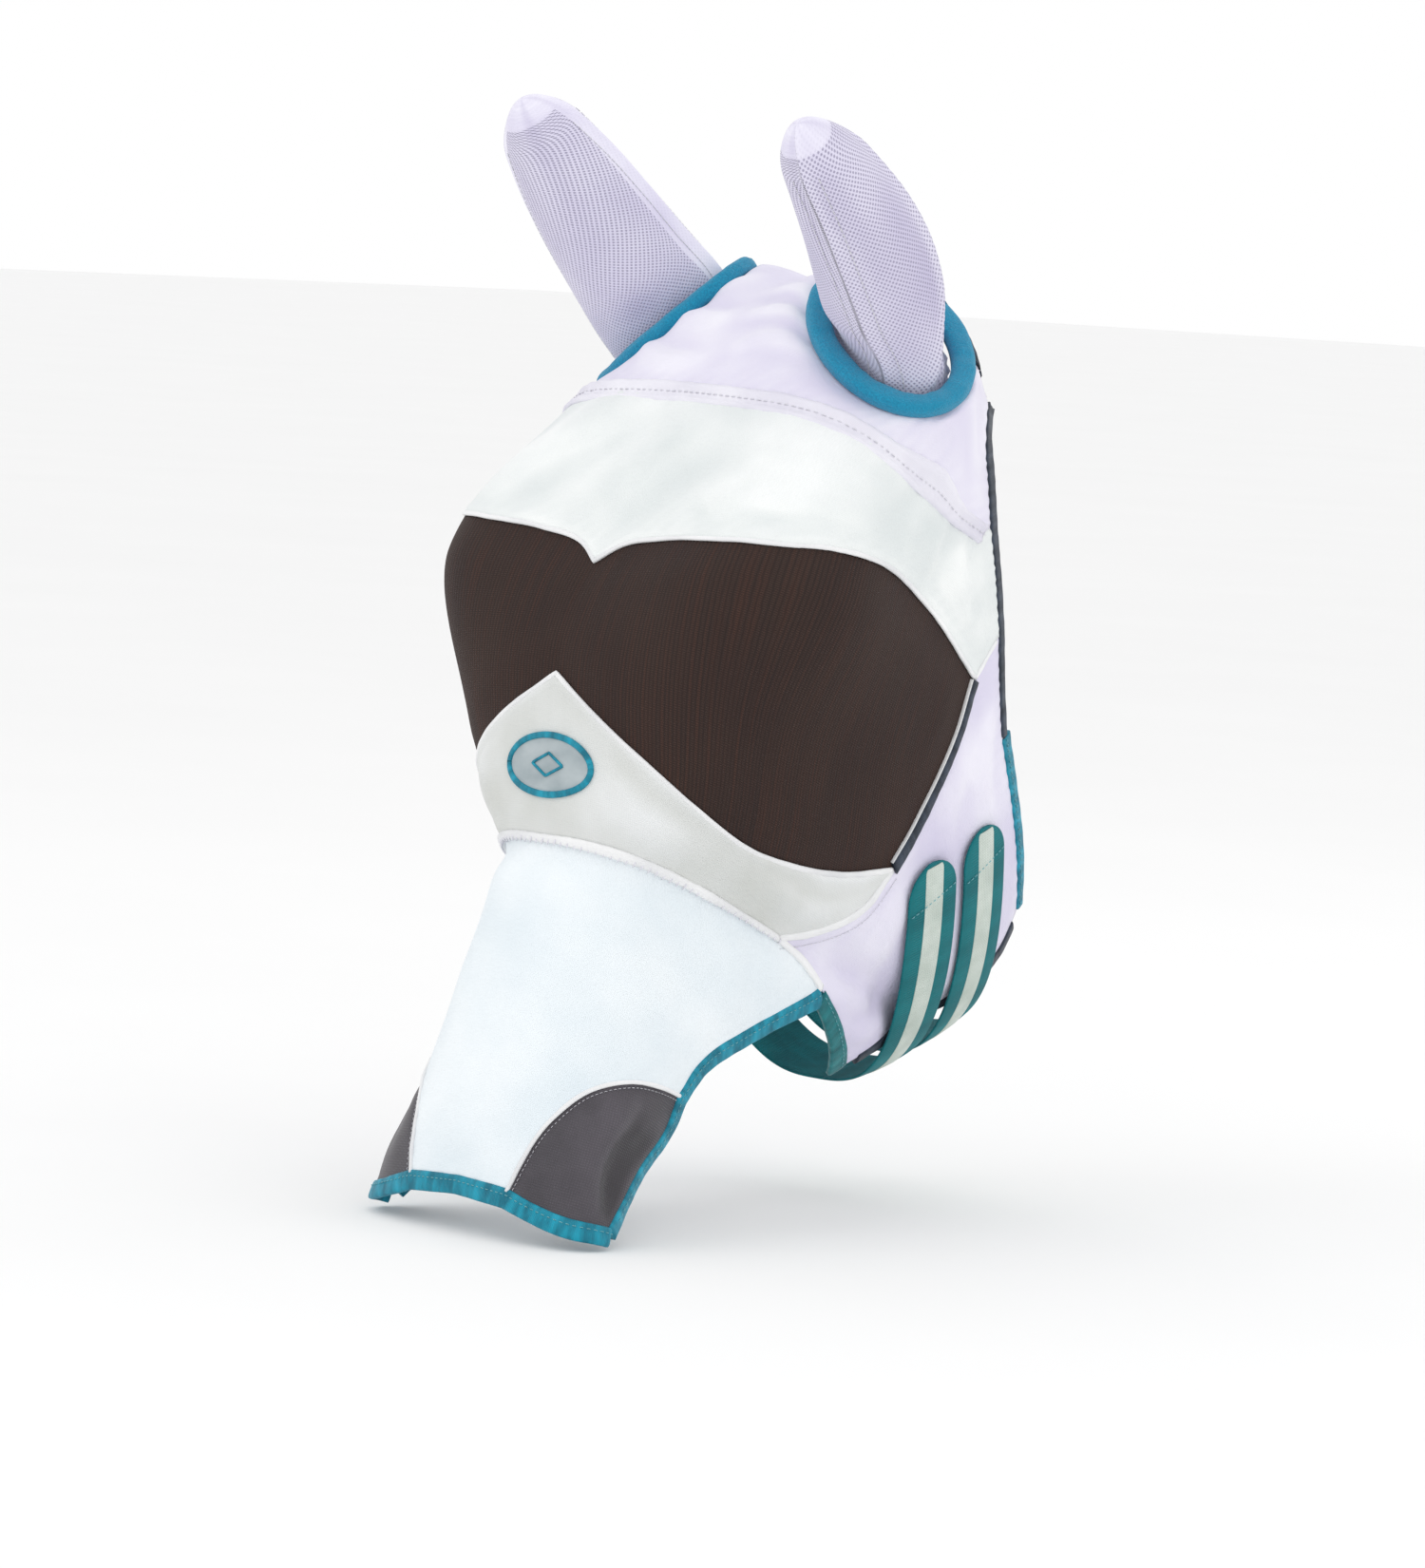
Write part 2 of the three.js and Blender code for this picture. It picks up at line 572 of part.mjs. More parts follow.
function addFace() {
  const browEnd = joined(rearBrow, smooth([CORNER.browTip, CORNER.meshRear]));
  const farSide = (path) => path.map(([a, s]) => [a, -s]);
  const whole = (top, bottom, right) => ({
    top: bothSides(top),
    bottom: bothSides(bottom),
    right,
    left: right && farSide(right),
  });
  add("brow_panel", panel(whole(browSeam, meshTop, browEnd)), COLOURS.ripstop);
  add("eye_mesh", panel(whole(meshTop, meshLow, meshRear)), COLOURS.mesh, 0.7);
  add("face_panel", panel({ ...whole(meshLow, joined(noseSeam, faceLow)), trim: 1 }), COLOURS.ripstop);
  const noseEdge = joined(noseFront, reversed(insertTop), reversed(noseLow));
  const noseTop = joined(noseSeam, noseSeamEnd);
  add("nose_panel", panel({ ...whole(noseTop, noseEdge), cell: 16, trim: 1.2 }), COLOURS.nose);
  add("nose_seam_roll", strip(bothSides(noseSeam), ribProfile(ROLL)), COLOURS.nose);
  const insertEdge = joined(insertLow, insertFront);
  addPair("nostril_insert", panel({ top: insertTop, bottom: insertEdge, trim: 0.6 }), COLOURS.insert, 0.75);
  addPair("eye_piping", strip(meshRear, ribProfile(PIPING), { trim: 3 }), COLOURS.navy);
}

function addCheeks() {
  const top = joined(reversed(noseSeamEnd), faceLow, reversed(meshRear), smooth([CORNER.meshRear, CORNER.browTip]));
  const right = joined(rearCheek, rearThroat);
  const cheek = panel({ top, bottom: jawEdge, left: cheekFront, right, trim: 1.1 });
  addPair("cheek_panel", cheek, COLOURS.lycra);
}

function addBindings() {
  const wide = tapeProfile(TAPE.wide);
  const slim = tapeProfile(TAPE.slim);
  const noseSide = joined(noseLow, insertLow);
  const noseEdge = bothSides(joined(noseFront, reversed(insertFront)));
  add("rear_binding", strip(navyRear, slim, { trim: SEAM_GAP }), COLOURS.navy);
  addPair("throat_binding", strip(rearThroat, wide, { trim: SEAM_GAP }), COLOURS.teal, 0.5);
  addPair("jaw_binding", strip(jawEdge, slim, { side: -1, trim: TAPE.wide + GAP }), COLOURS.navy);
  addPair("cheek_binding", strip(cheekFront, wide, { side: -1, trim: TAPE.wide + GAP }), COLOURS.darkTeal, 0.5);
  addPair("nose_side_binding", strip(noseSide, wide, { trim: TAPE.wide + GAP }), COLOURS.teal, 0.5);
  add("nose_front_binding", strip(noseEdge, wide, { side: -1 }), COLOURS.teal, 0.5);
}

function addBadge() {
  const arc = (from, to, grow) =>
    Array.from({ length: 25 }, (_, k) => {
      const angle = from + ((to - from) * k) / 24;
      return [BADGE.a - (BADGE.ra - grow) * Math.sin(angle), BADGE.s - (BADGE.rs - grow) * Math.cos(angle)];
    });
  const inset = BADGE.rim + 2 * SEAM_GAP;
  const field = panel({ ...BADGE, top: arc(0, Math.PI, inset), bottom: arc(0, -Math.PI, inset), cell: FINE, trim: 1 });
  add("badge_field", field, COLOURS.badge);
  const rim = [[0, BADGE.low], [0, BADGE.high + 0.6], [BADGE.rim, BADGE.high + 0.6], [BADGE.rim, BADGE.low]];
  add("badge_rim", strip(arc(0, 2 * Math.PI, 0), rim, { side: -1, loop: true }), COLOURS.teal, 0.5);
}

function addStraps() {
  const { top, bend, root, sewn, wide, low, high, stripe, stripeLow, stripeHigh, pad, padFrom, padInset } = STRAP;
  const overStrap = { wide: stripe, low: stripeLow, high: stripeHigh };
  for (const [name, strap] of Object.entries(STRAPS)) {
    const tab = { from: top, to: bend };
    add(`${name}_strap_tab`, band(strap, { ...tab, wide, low, high, round: wide / 2, start: 0 }), COLOURS.darkTeal, 0.6);
    add(`${name}_strap_stripe`, band(strap, { ...tab, ...overStrap, start: 2 }), COLOURS.webbing);
    add(`${name}_strap_under`, band(strap, { from: bend, to: root, wide, low, high }), COLOURS.darkTeal, 0.6);
    add(`${name}_strap_anchor`, band(strap, { from: root, to: sewn, wide, low: 2.6, high }), COLOURS.darkTeal, 0.6);
    const loop = { ...tab, wide: wide - 6, low: 2, high: 2.7, start: padFrom, long: pad };
    const hook = { ...tab, wide: wide - 10, low: 3, high: 3.5, start: padFrom + padInset, long: pad - 2 * padInset };
    add(`${name}_loop_pad`, band(strap, loop), COLOURS.webbing);
    add(`${name}_hook_pad`, band(strap, hook), COLOURS.hook);
  }
}

addCrown();
addEars();
addFace();
addCheeks();
addBindings();
addBadge();
addStraps();

mask.position.copy(POLL).negate();
export default mask;
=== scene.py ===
"""The looks of the horse fly mask: sewn fabric, mesh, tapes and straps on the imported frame.

The fabric follows the same head form as the CAD panels. Lengths are in millimetres and are
turned into metres where a mesh is made.
"""

import math
from types import SimpleNamespace as Sizes

import bpy
import numpy as np
from mathutils import Matrix, Vector


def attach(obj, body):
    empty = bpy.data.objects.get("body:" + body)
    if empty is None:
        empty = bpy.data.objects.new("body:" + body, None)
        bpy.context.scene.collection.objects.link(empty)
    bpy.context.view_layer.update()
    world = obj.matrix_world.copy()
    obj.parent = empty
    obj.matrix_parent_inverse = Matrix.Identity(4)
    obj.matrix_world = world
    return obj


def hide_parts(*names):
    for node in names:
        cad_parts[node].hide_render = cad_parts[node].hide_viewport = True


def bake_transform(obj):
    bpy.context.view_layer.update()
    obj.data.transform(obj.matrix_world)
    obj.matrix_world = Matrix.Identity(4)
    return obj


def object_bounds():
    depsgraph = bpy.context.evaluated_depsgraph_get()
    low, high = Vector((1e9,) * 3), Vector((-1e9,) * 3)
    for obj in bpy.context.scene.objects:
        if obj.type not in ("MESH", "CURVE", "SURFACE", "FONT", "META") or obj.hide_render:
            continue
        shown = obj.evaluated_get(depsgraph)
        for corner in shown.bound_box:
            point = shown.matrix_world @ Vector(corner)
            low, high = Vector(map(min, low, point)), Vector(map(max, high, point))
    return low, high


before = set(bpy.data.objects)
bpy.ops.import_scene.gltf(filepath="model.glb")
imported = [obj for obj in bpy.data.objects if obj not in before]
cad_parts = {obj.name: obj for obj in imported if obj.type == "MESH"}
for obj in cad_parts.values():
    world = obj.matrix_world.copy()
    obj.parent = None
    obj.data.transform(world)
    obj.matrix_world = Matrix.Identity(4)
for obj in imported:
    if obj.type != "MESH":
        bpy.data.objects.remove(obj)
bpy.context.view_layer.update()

# ---------- driving dimensions ----------
HEAD_TILT = math.radians(22)  # the head's long axis, forward of straight down
FABRIC = 1.1  # thickness of a panel
CELL = 3.0  # grid size of a panel
FINE = 1.8  # spacing along a tape, roll or strap
TAPE_WIDE = 9.5
EYE = Sizes(a=184, s=118, ra=64, rs=66, high=21)  # how the mesh stands off each eye
NOSE_TUCK = Sizes(a=343, wide=13, deep=8)
JAW_ROUND = 0.52
CREST = Sizes(a=30, y=28, z=-77, radius=75)  # above this the form rolls back over the poll
POLL = np.array([0.0, 1.0, -7.0])  # the frame's origin in the form's own coordinates
SEAT = Sizes(near=1.04, far=1.45, deep=36, deepest=62)  # the flat seat under each ear ring
BADGE = Sizes(a=303, s=3, ra=17, rs=31, rim=3.2)
STRAP = Sizes(wide=40, stripe=15, low=3.2, high=5.2, pad_from=12, pad_to=56)
STRAP_TURN = Sizes(top=-11, bend=62, root=113, sewn=137)  # degrees round the jaw from the near side
STRAPS = {
    "front": Sizes(centre=(54, -330), down=(0.32, -0.95)),
    "rear": Sizes(centre=(98, -312), down=(0.32, -0.95)),
}

# a: millimetres down the face from the poll. s: millimetres round the head from the middle of
# the face, positive to the near side. Each guide line has one value per station.
FIRST_STATION, STATION_STEP = -60, 60
GUIDES = {
    "dorsal_n": [-44, 0, 24, 44, 56, 62, 48, 36, 30, 20, 8, -4],
    "shoulder_x": [40, 48, 66, 84, 88, 76, 54, 34, 36, 40, 50, 54],
    "shoulder_n": [-44, 0, 24, 44, 56, 60, 44, 30, 26, 18, 8, -6],
    "side_x": [70, 92, 114, 133, 134, 122, 104, 74, 74, 82, 94, 96],
    "side_n": [-70, -30, -8, 8, 12, 8, -6, -26, -22, -18, -14, -20],
    "lower_x": [70, 88, 94, 98, 98, 96, 90, 78, 64, 62, 68, 68],
    "lower_n": [-120, -120, -140, -165, -190, -210, -200, -160, -100, -64, -50, -50],
    "ventral_n": [-180, -200, -230, -260, -290, -320, -314, -262, -180, -116, -86, -80],
}
DOWN_FACE = np.array([0, -math.sin(HEAD_TILT), -math.cos(HEAD_TILT)])
OUT_OF_FACE = np.array([0, -math.cos(HEAD_TILT), math.sin(HEAD_TILT)])


# ---------- small maths ----------
def unit(v):
    v = np.asarray(v, float)
    return v / np.maximum(np.linalg.norm(v, axis=-1, keepdims=True), 1e-9)


def smoothstep(low, high, x):
    t = np.clip((x - low) / (high - low), 0, 1)
    return t * t * (3 - 2 * t)


def bell(x, wide):
    return np.exp(-((x / wide) ** 2))


def window(x, low, high, fall, end):
    """Rises from 0 to 1 between low and high, and falls back between fall and end."""
    return smoothstep(low, high, x) * (1 - smoothstep(fall, end, x))


def hermite(p0, p1, p2, p3, f):
    """A smooth curve from p1 to p2, at the fraction f of the way."""
    bend = (-p0 + 3 * p1 - 3 * p2 + p3) * f**3
    return 0.5 * (2 * p1 + (p2 - p0) * f + (2 * p0 - 5 * p1 + 4 * p2 - p3) * f**2 + bend)


def through(values, t):
    """A smooth curve through evenly spaced values, at places t counted in values."""
    values = np.asarray(values, float)
    i = np.clip(np.floor(t).astype(int), 0, len(values) - 2)
    near = [values[np.clip(i + k, 0, len(values) - 1)] for k in (-1, 0, 1, 2)]
    return hermite(*near, t - i)


def cloud(x, y, size, seed):
    """Smooth noise from -1 to 1 with lumps of that size."""
    lattice = np.random.RandomState(seed).uniform(-1, 1, (64, 64))
    u, v = x / size + 19.37, y / size + 23.71
    i, j = np.floor(u).astype(int), np.floor(v).astype(int)
    f, g = smoothstep(0, 1, u - i), smoothstep(0, 1, v - j)
    value = lambda di, dj: lattice[(i + di) % 64, (j + dj) % 64]
    low = value(0, 0) * (1 - f) + value(1, 0) * f
    high = value(0, 1) * (1 - f) + value(1, 1) * f
    return low * (1 - g) + high * g


def fold(a, s, start, end, wide, high, valley=0.45):
    """A soft ridge from start to end, with a shallow valley beside it, fading at both ends."""
    way = np.subtract(end, start).astype(float)
    long = np.hypot(*way)
    way /= long
    along = ((a - start[0]) * way[0] + (s - start[1]) * way[1]) / long
    aside = (s - start[1]) * way[0] - (a - start[0]) * way[1]
    aside = aside + 0.12 * long * np.sin(along * 3)
    fade = window(along, -0.2, 0.2, 0.7, 1.2)
    return high * fade * (bell(aside, wide) - valley * bell(aside - 1.6 * wide, wide))


def folds(a, s, several):
    return sum(fold(a, s, *one) for one in several)


# ---------- the head form ----------
SPANS, SPAN_STEPS = 5, 36


def spline_weights():
    """What each of eight control points gives to the points of a half section."""
    weights = np.zeros((SPANS * SPAN_STEPS + 1, 8))
    for k in range(len(weights)):
        i = min(k // SPAN_STEPS, SPANS - 1)
        f = k / SPAN_STEPS - i
        weights[k, i : i + 4] = [
            (1 - f) ** 3 / 6,
            (3 * f**3 - 6 * f**2 + 4) / 6,
            (-3 * f**3 + 3 * f**2 + 3 * f + 1) / 6,
            f**3 / 6,
        ]
    return weights


WEIGHTS = spline_weights()


def sections(a):
    """Half sections of the head at stations a, as x, n points with the distance along them."""
    t = (a - FIRST_STATION) / STATION_STEP
    g = {name: through(values, t) for name, values in GUIDES.items()}
    zero = np.zeros_like(a)
    jaw = JAW_ROUND * g["lower_x"]
    xs = [-g["shoulder_x"], zero, g["shoulder_x"], g["side_x"], g["lower_x"], jaw, zero, -jaw]
    names = ["shoulder_n", "dorsal_n", "shoulder_n", "side_n", "lower_n"] + 3 * ["ventral_n"]
    control = np.stack([np.stack(xs, -1), np.stack([g[name] for name in names], -1)], -1)
    flat_control = control.transpose(1, 0, 2).reshape(8, -1)
    points = (WEIGHTS @ flat_control).reshape(len(WEIGHTS), len(a), 2).transpose(1, 0, 2)
    steps = np.hypot(*np.diff(points, axis=1).transpose(2, 0, 1))
    along = np.concatenate([np.zeros((len(a), 1)), np.cumsum(steps, 1)], 1)
    return points, along


def plain_form(a, s):
    """The head form without the ear seats, for the near side."""
    station = np.maximum(a, CREST.a)
    points, along = sections(station)
    reach = np.minimum(np.abs(s), along[:, -1])
    k = np.clip((along < reach[:, None]).sum(1), 1, along.shape[1] - 1)
    row = np.arange(len(a))
    p0, p1 = points[row, k - 1], points[row, k]
    f = (reach - along[row, k - 1]) / (along[row, k] - along[row, k - 1])
    way = unit(p1 - p0)
    eye = ((station - EYE.a) / EYE.ra) ** 2 + ((reach - EYE.s) / EYE.rs) ** 2
    out = EYE.high * np.exp(-1.1 * eye) - NOSE_TUCK.deep * bell(station - NOSE_TUCK.a, NOSE_TUCK.wide)
    x, n = (p0 + (p1 - p0) * f[:, None] + out[:, None] * way[:, ::-1] * [-1, 1]).T
    p = station[:, None] * DOWN_FACE + n[:, None] * OUT_OF_FACE
    angle = np.maximum(0, CREST.a - a) / CREST.radius
    y, z = p[:, 1] - CREST.y, p[:, 2] - CREST.z
    turned_y = CREST.y + y * np.cos(angle) + z * np.sin(angle)
    turned_z = CREST.z + z * np.cos(angle) - y * np.sin(angle)
    return np.stack([x, turned_y, turned_z], -1)


RING = Sizes(centre=np.array([77.0, 13.0, -34.0]), long=58, short=43, wide=13)
RING.normal = unit([0.54, -0.39, 0.745])
RING_LONG = np.array([0.756, -0.162, -0.634])
RING_LONG = unit(RING_LONG - RING.normal * (RING_LONG @ RING.normal))
RING_SHORT = np.cross(RING_LONG, RING.normal)


def ring_place(p):
    """Height over the ear ring's plane, and the distance from its middle in ring sizes."""
    offset = p - RING.centre
    far = np.hypot(offset @ RING_LONG / RING.long, offset @ RING_SHORT / RING.short)
    return offset @ RING.normal, far


def form(a, s):
    """The head form with a flat seat under each ear ring."""
    p = plain_form(a, s)
    height, far = ring_place(p)
    near = 1 - np.clip((far - SEAT.near) / (SEAT.far - SEAT.near), 0, 1)
    reach = 1 - smoothstep(SEAT.deep, SEAT.deepest, np.abs(height))
    p = p - (height * near**1.5 * reach)[:, None] * RING.normal
    p[:, 0] *= np.where(s < 0, -1, 1)
    return p


BATCH = 4000  # points worked out at once, to spare memory


def on_form(a, s):
    """Points of the form and the directions straight out of it."""
    a, s = np.broadcast_arrays(np.asarray(a, float), np.asarray(s, float))
    shape = a.shape
    a, s = a.ravel(), s.ravel()
    points, normals = np.empty((len(a), 3)), np.empty((len(a), 3))
    for k in range(0, len(a), BATCH):
        i, j = a[k : k + BATCH], s[k : k + BATCH]
        points[k : k + BATCH] = form(i, j)
        down = form(i + 1, j) - form(i - 1, j)
        round_head = form(i, j + 1) - form(i, j - 1)
        normals[k : k + BATCH] = unit(np.cross(down, round_head))
    return points.reshape(*shape, 3), normals.reshape(*shape, 3)


def over(a, s, out):
    """Points that far out from the form."""
    points, normals = on_form(a, s)
    return points + normals * np.broadcast_to(out, np.shape(points)[:-1])[..., None]


# ---------- paths on the form, as arrays of [a, s] ----------
CURVE_STEPS, PATH_GAP = 30, 2


def smooth(points):
    """A chordal Catmull-Rom curve through the points, at an even spacing."""
    p = np.asarray(points, float)
    p = np.vstack([2 * p[0] - p[1], p, 2 * p[-1] - p[-2]])
    gaps = np.linalg.norm(np.diff(p, axis=0), axis=1)
    curve = []
    for k in range(1, len(p) - 2):
        g0, g1, g2 = gaps[k - 1 : k + 2]
        x0, x1, x2, x3 = p[k - 1 : k + 3]
        t1 = g1 * ((x1 - x0) / g0 - (x2 - x0) / (g0 + g1) + (x2 - x1) / g1)
        t2 = g1 * ((x2 - x1) / g1 - (x3 - x1) / (g1 + g2) + (x3 - x2) / g2)
        f = np.linspace(0, 1, CURVE_STEPS)[:, None]
        bend = (3 * (x2 - x1) - 2 * t1 - t2) * f**2 + (2 * (x1 - x2) + t1 + t2) * f**3
        curve.append(x1 + t1 * f + bend)
    curve = np.vstack(curve)
    moved = np.linalg.norm(np.diff(curve, axis=0), axis=1) > 1e-9
    return spaced(curve[np.r_[True, moved]], PATH_GAP)


def lengths(path):
    return np.r_[0, np.cumsum(np.linalg.norm(np.diff(path, axis=0), axis=1))]


def point_on(path, t):
    sums = lengths(path)
    reach = np.clip(t, 0, 1) * sums[-1]
    return np.stack([np.interp(reach, sums, path[:, axis]) for axis in range(path.shape[1])], -1)


def spaced(path, gap):
    count = max(2, math.ceil(lengths(path)[-1] / gap))
    return point_on(path, np.linspace(0, 1, count + 1))


def joined(*paths):
    return np.vstack([paths[0], *[path[1:] for path in paths[1:]]])


def both_sides(half):
    return np.vstack([half[::-1] * [1, -1], half[1:]])


def part_of(path, start, end):
    """The stretch of a path between two distances along it; a negative end counts from its end."""
    long = lengths(path)[-1]
    stop = long + end if end <= 0 else end
    return point_on(path, np.linspace(start / long, stop / long, max(3, int((stop - start) / PATH_GAP))))


# ---------- seams and edges of the near half ----------
BROW_REAR, BROW_TIP, MESH_REAR, MESH_LOW = [93, 247], [140, 302], [172, 289], [287, 247]
SEAM_END, TONGUE, STRAP_ZONE, REAR_LOW = [359, 205], [345, 166], [188, 342], [262, 412]
JAW_FRONT, INSERT_REAR, INSERT_FRONT, NOSE_CORNER = [384, 268], [446, 127], [527, 36], [531, 98]

rear_crown = smooth(
    [[-58, 0], [-60, 50], [-58, 95], [-44, 130], [-18, 154], [12, 170], [42, 188], [68, 218], BROW_REAR]
)
rear_brow = smooth([BROW_REAR, [116, 276], BROW_TIP])
rear_cheek = smooth([BROW_TIP, [164, 322], STRAP_ZONE])
rear_throat = smooth([STRAP_ZONE, [218, 375], [244, 399], REAR_LOW])
brow_seam = smooth([[78, 0], [79, 40], [81, 90], [85, 118], [92, 161], [95, 207], BROW_REAR])
mesh_top = smooth(
    [[192, 0], [182, 14], [176, 47], [173.5, 86], [169, 108], [162, 124], [155, 150], [156, 216], MESH_REAR]
)
mesh_rear = smooth([MESH_REAR, [203, 289], [232, 281], [261, 266], MESH_LOW])
mesh_low = smooth([[256, 0], [273, 28], [290, 58], [305, 90], [313, 122], [311, 160], [303, 200], MESH_LOW])
nose_seam = smooth([[339, 0], [338, 67], [340, 103], TONGUE])
nose_seam_end = smooth([TONGUE, [349, 184], SEAM_END])
face_low = smooth([TONGUE, [340, 178], [329, 200], [309, 229], MESH_LOW])
nose_low = smooth([SEAM_END, [378, 181], [399, 159], [427, 134], INSERT_REAR])
insert_top = smooth([INSERT_REAR, [447, 110], [452, 86], [464, 66], [486, 50], INSERT_FRONT])
insert_low = smooth([INSERT_REAR, [466, 128], [492, 114], NOSE_CORNER])
insert_front = smooth([NOSE_CORNER, [534, 74], [531, 52], INSERT_FRONT])
nose_front = smooth([[525, 0], INSERT_FRONT])
cheek_front = smooth([SEAM_END, [370, 232], JAW_FRONT])
jaw_edge = smooth([JAW_FRONT, [362, 288], [338, 326], [312, 362], [284, 400], REAR_LOW])
brow_to_mesh = smooth([BROW_TIP, MESH_REAR])


# ---------- materials ----------
class Finish:
    """A material being made. Each method returns the socket that it adds."""

    def __init__(self, name, roughness, **surface):
        self.material = bpy.data.materials.new(name)
        self.material.use_nodes = True
        self.tree = self.material.node_tree
        self.shader = self.tree.nodes["Principled BSDF"]
        self.shader.inputs["Roughness"].default_value = roughness
        for socket, value in surface.items():
            self.shader.inputs[socket.replace("_", " ")].default_value = value

    def add(self, kind, output=0, settings=None, **inputs):
        node = self.tree.nodes.new(kind)
        for name, value in (settings or {}).items():
            setattr(node, name, value)
        for name, value in inputs.items():
            self.put(node.inputs[name.replace("_", " ")], value)
        return node.outputs[output]

    def put(self, socket, value):
        """Links a socket, or sets a number, a vector or the hex code of a colour."""
        if isinstance(value, bpy.types.NodeSocket):
            self.tree.links.new(value, socket)
        else:
            socket.default_value = rgb(value) if isinstance(value, str) else value

    def value(self, name, output=2):
        return self.add("ShaderNodeAttribute", output, {"attribute_name": name})

    def flat(self, across=1.0, along=1.0, turn=0.0, shift=0.0):
        """The place on the flat cloth in millimetres, scaled each way, turned and shifted."""
        scale, spin, start = (across, along, 1), (0, 0, turn), (shift, shift, 0)
        place = self.value("flat", 1)
        return self.add("ShaderNodeMapping", Vector=place, Scale=scale, Rotation=spin, Location=start)

    def noise(self, across, along, detail=3.0, roughness=0.5):
        """Smooth noise over the flat cloth, scaled each way."""
        kind, place = "ShaderNodeTexNoise", self.flat(across, along)
        return self.add(kind, Vector=place, Scale=1.0, Detail=detail, Roughness=roughness)

    def ribs(self, pitch, across="X", distortion=0.0, place=None):
        """Ridges from 0 to 1, one every pitch millimetres."""
        settings = {"wave_type": "BANDS", "bands_direction": across, "wave_profile": "SIN"}
        kind, scale, place = "ShaderNodeTexWave", math.pi / 10 / pitch, place or self.flat()
        return self.add(kind, 1, settings, Vector=place, Scale=scale, Distortion=distortion)

    def weave(self, across, along, distortion=0.0, place=None):
        """Threads or holes from 0 to 1, by their pitches both ways."""
        ribs = self.ribs(across, "X", distortion, place)
        return self.math("MULTIPLY", ribs, self.ribs(along, "Y", place=place))

    def math(self, what, *values):
        node = self.tree.nodes.new("ShaderNodeMath")
        node.operation = what
        for socket, value in zip(node.inputs, values):
            self.put(socket, value)
        return node.outputs[0]

    def span(self, value, low, high, to_low=0.0, to_high=1.0):
        """The value, stretched from low and high to the other two."""
        limits = dict(From_Min=low, From_Max=high, To_Min=to_low, To_Max=to_high)
        return self.add("ShaderNodeMapRange", Value=value, **limits)

    def mix(self, factor, first, second):
        node = self.tree.nodes.new("ShaderNodeMix")
        node.data_type = "RGBA"
        self.put(node.inputs["Factor"], factor)
        for socket, value in (("A", first), ("B", second)):
            self.put([i for i in node.inputs if i.name == socket and i.type == "RGBA"][0], value)
        return [o for o in node.outputs if o.type == "RGBA"][0]

    def tint(self, colour, other, value, *limits):
        """The colour, turned towards another by a value between the limits, as span takes them."""
        return self.mix(self.span(value, *limits), colour, other)

    def dress(self, colour, *bumps, roughness=None):
        """Sets the colour, and bumps of (height socket, millimetres)."""
        self.put(self.shader.inputs["Base Color"], colour)
        normal = None
        for height, size in bumps:
            node = self.tree.nodes.new("ShaderNodeBump")
            self.put(node.inputs["Distance"], size / 1000)
            self.put(node.inputs["Height"], height)
            if normal:
                self.put(node.inputs["Normal"], normal)
            normal = node.outputs[0]
        if normal:
            self.put(self.shader.inputs["Normal"], normal)
        if roughness:
            self.put(self.shader.inputs["Roughness"], roughness)
        return self.material


def rgb(code):
    """A linear colour from a six-digit hex code."""
    parts = [int(code[k : k + 2], 16) / 255 for k in (0, 2, 4)]
    return (*[c / 12.92 if c < 0.04045 else ((c + 0.055) / 1.055) ** 2.4 for c in parts], 1)


def knit(name, light, shade, pitch, roughness=0.8, sheen=0.25, creased=True):
    """Stretch or woven cloth: fine threads both ways, with shade in its folds."""
    f = Finish(name, roughness, Sheen_Weight=sheen, Sheen_Roughness=0.4)
    threads = f.weave(pitch, pitch * 0.8)
    colour = f.tint(light, shade, f.noise(0.012, 0.012), 0.35, 0.7)
    # painted shade: when creased, the colour turns towards the shade colour where the lift is low, in the
    # valleys of the folds
    if creased:
        colour = f.tint(colour, shade, f.value("lift"), 0.6, -1.4, 0, 0.8)
    colour = f.tint(colour, shade, threads, 0.0, 0.35, 0.22, 0.0)
    return f.dress(colour, (threads, 0.12), (f.noise(0.35, 0.35), 0.25))


def ribbed_mesh():
    f = Finish("eye mesh", 0.75, Sheen_Weight=0.02, Sheen_Roughness=0.5, Specular_IOR_Level=0.2)
    holes = f.weave(2.2, 1.1, 0.15)
    tone = f.noise(0.02, 0.01, 4)
    colour = f.tint("382a27", "43332d", tone, 0.3, 0.7)
    colour = f.tint(colour, "54352a", f.noise(0.5, 0.012), 0.45, 0.75, 0, 0.55)
    colour = f.tint(colour, "1f1716", holes, 0.0, 0.5, 0.65, 0.0)
    return f.dress(colour, (holes, 0.3), (tone, 0.3))


def nostril_mesh():
    f = Finish("nostril mesh", 0.58, Sheen_Weight=0.25, Sheen_Roughness=0.4)
    holes = f.weave(1.4, 1.4)
    colour = f.tint("413d44", "57525a", f.noise(0.03, 0.03), 0.3, 0.7)
    # painted shade: darker where the lift is low, in the valleys of the folds
    colour = f.tint(colour, "262328", f.value("lift"), 0.2, -1.6, 0, 0.75)
    colour = f.tint(colour, "2b282c", holes, 0.0, 0.5, 0.4, 0.0)
    return f.dress(colour, (holes, 0.2))


EAR_HOLES = 2.9  # pitch of the holes of the ear mesh


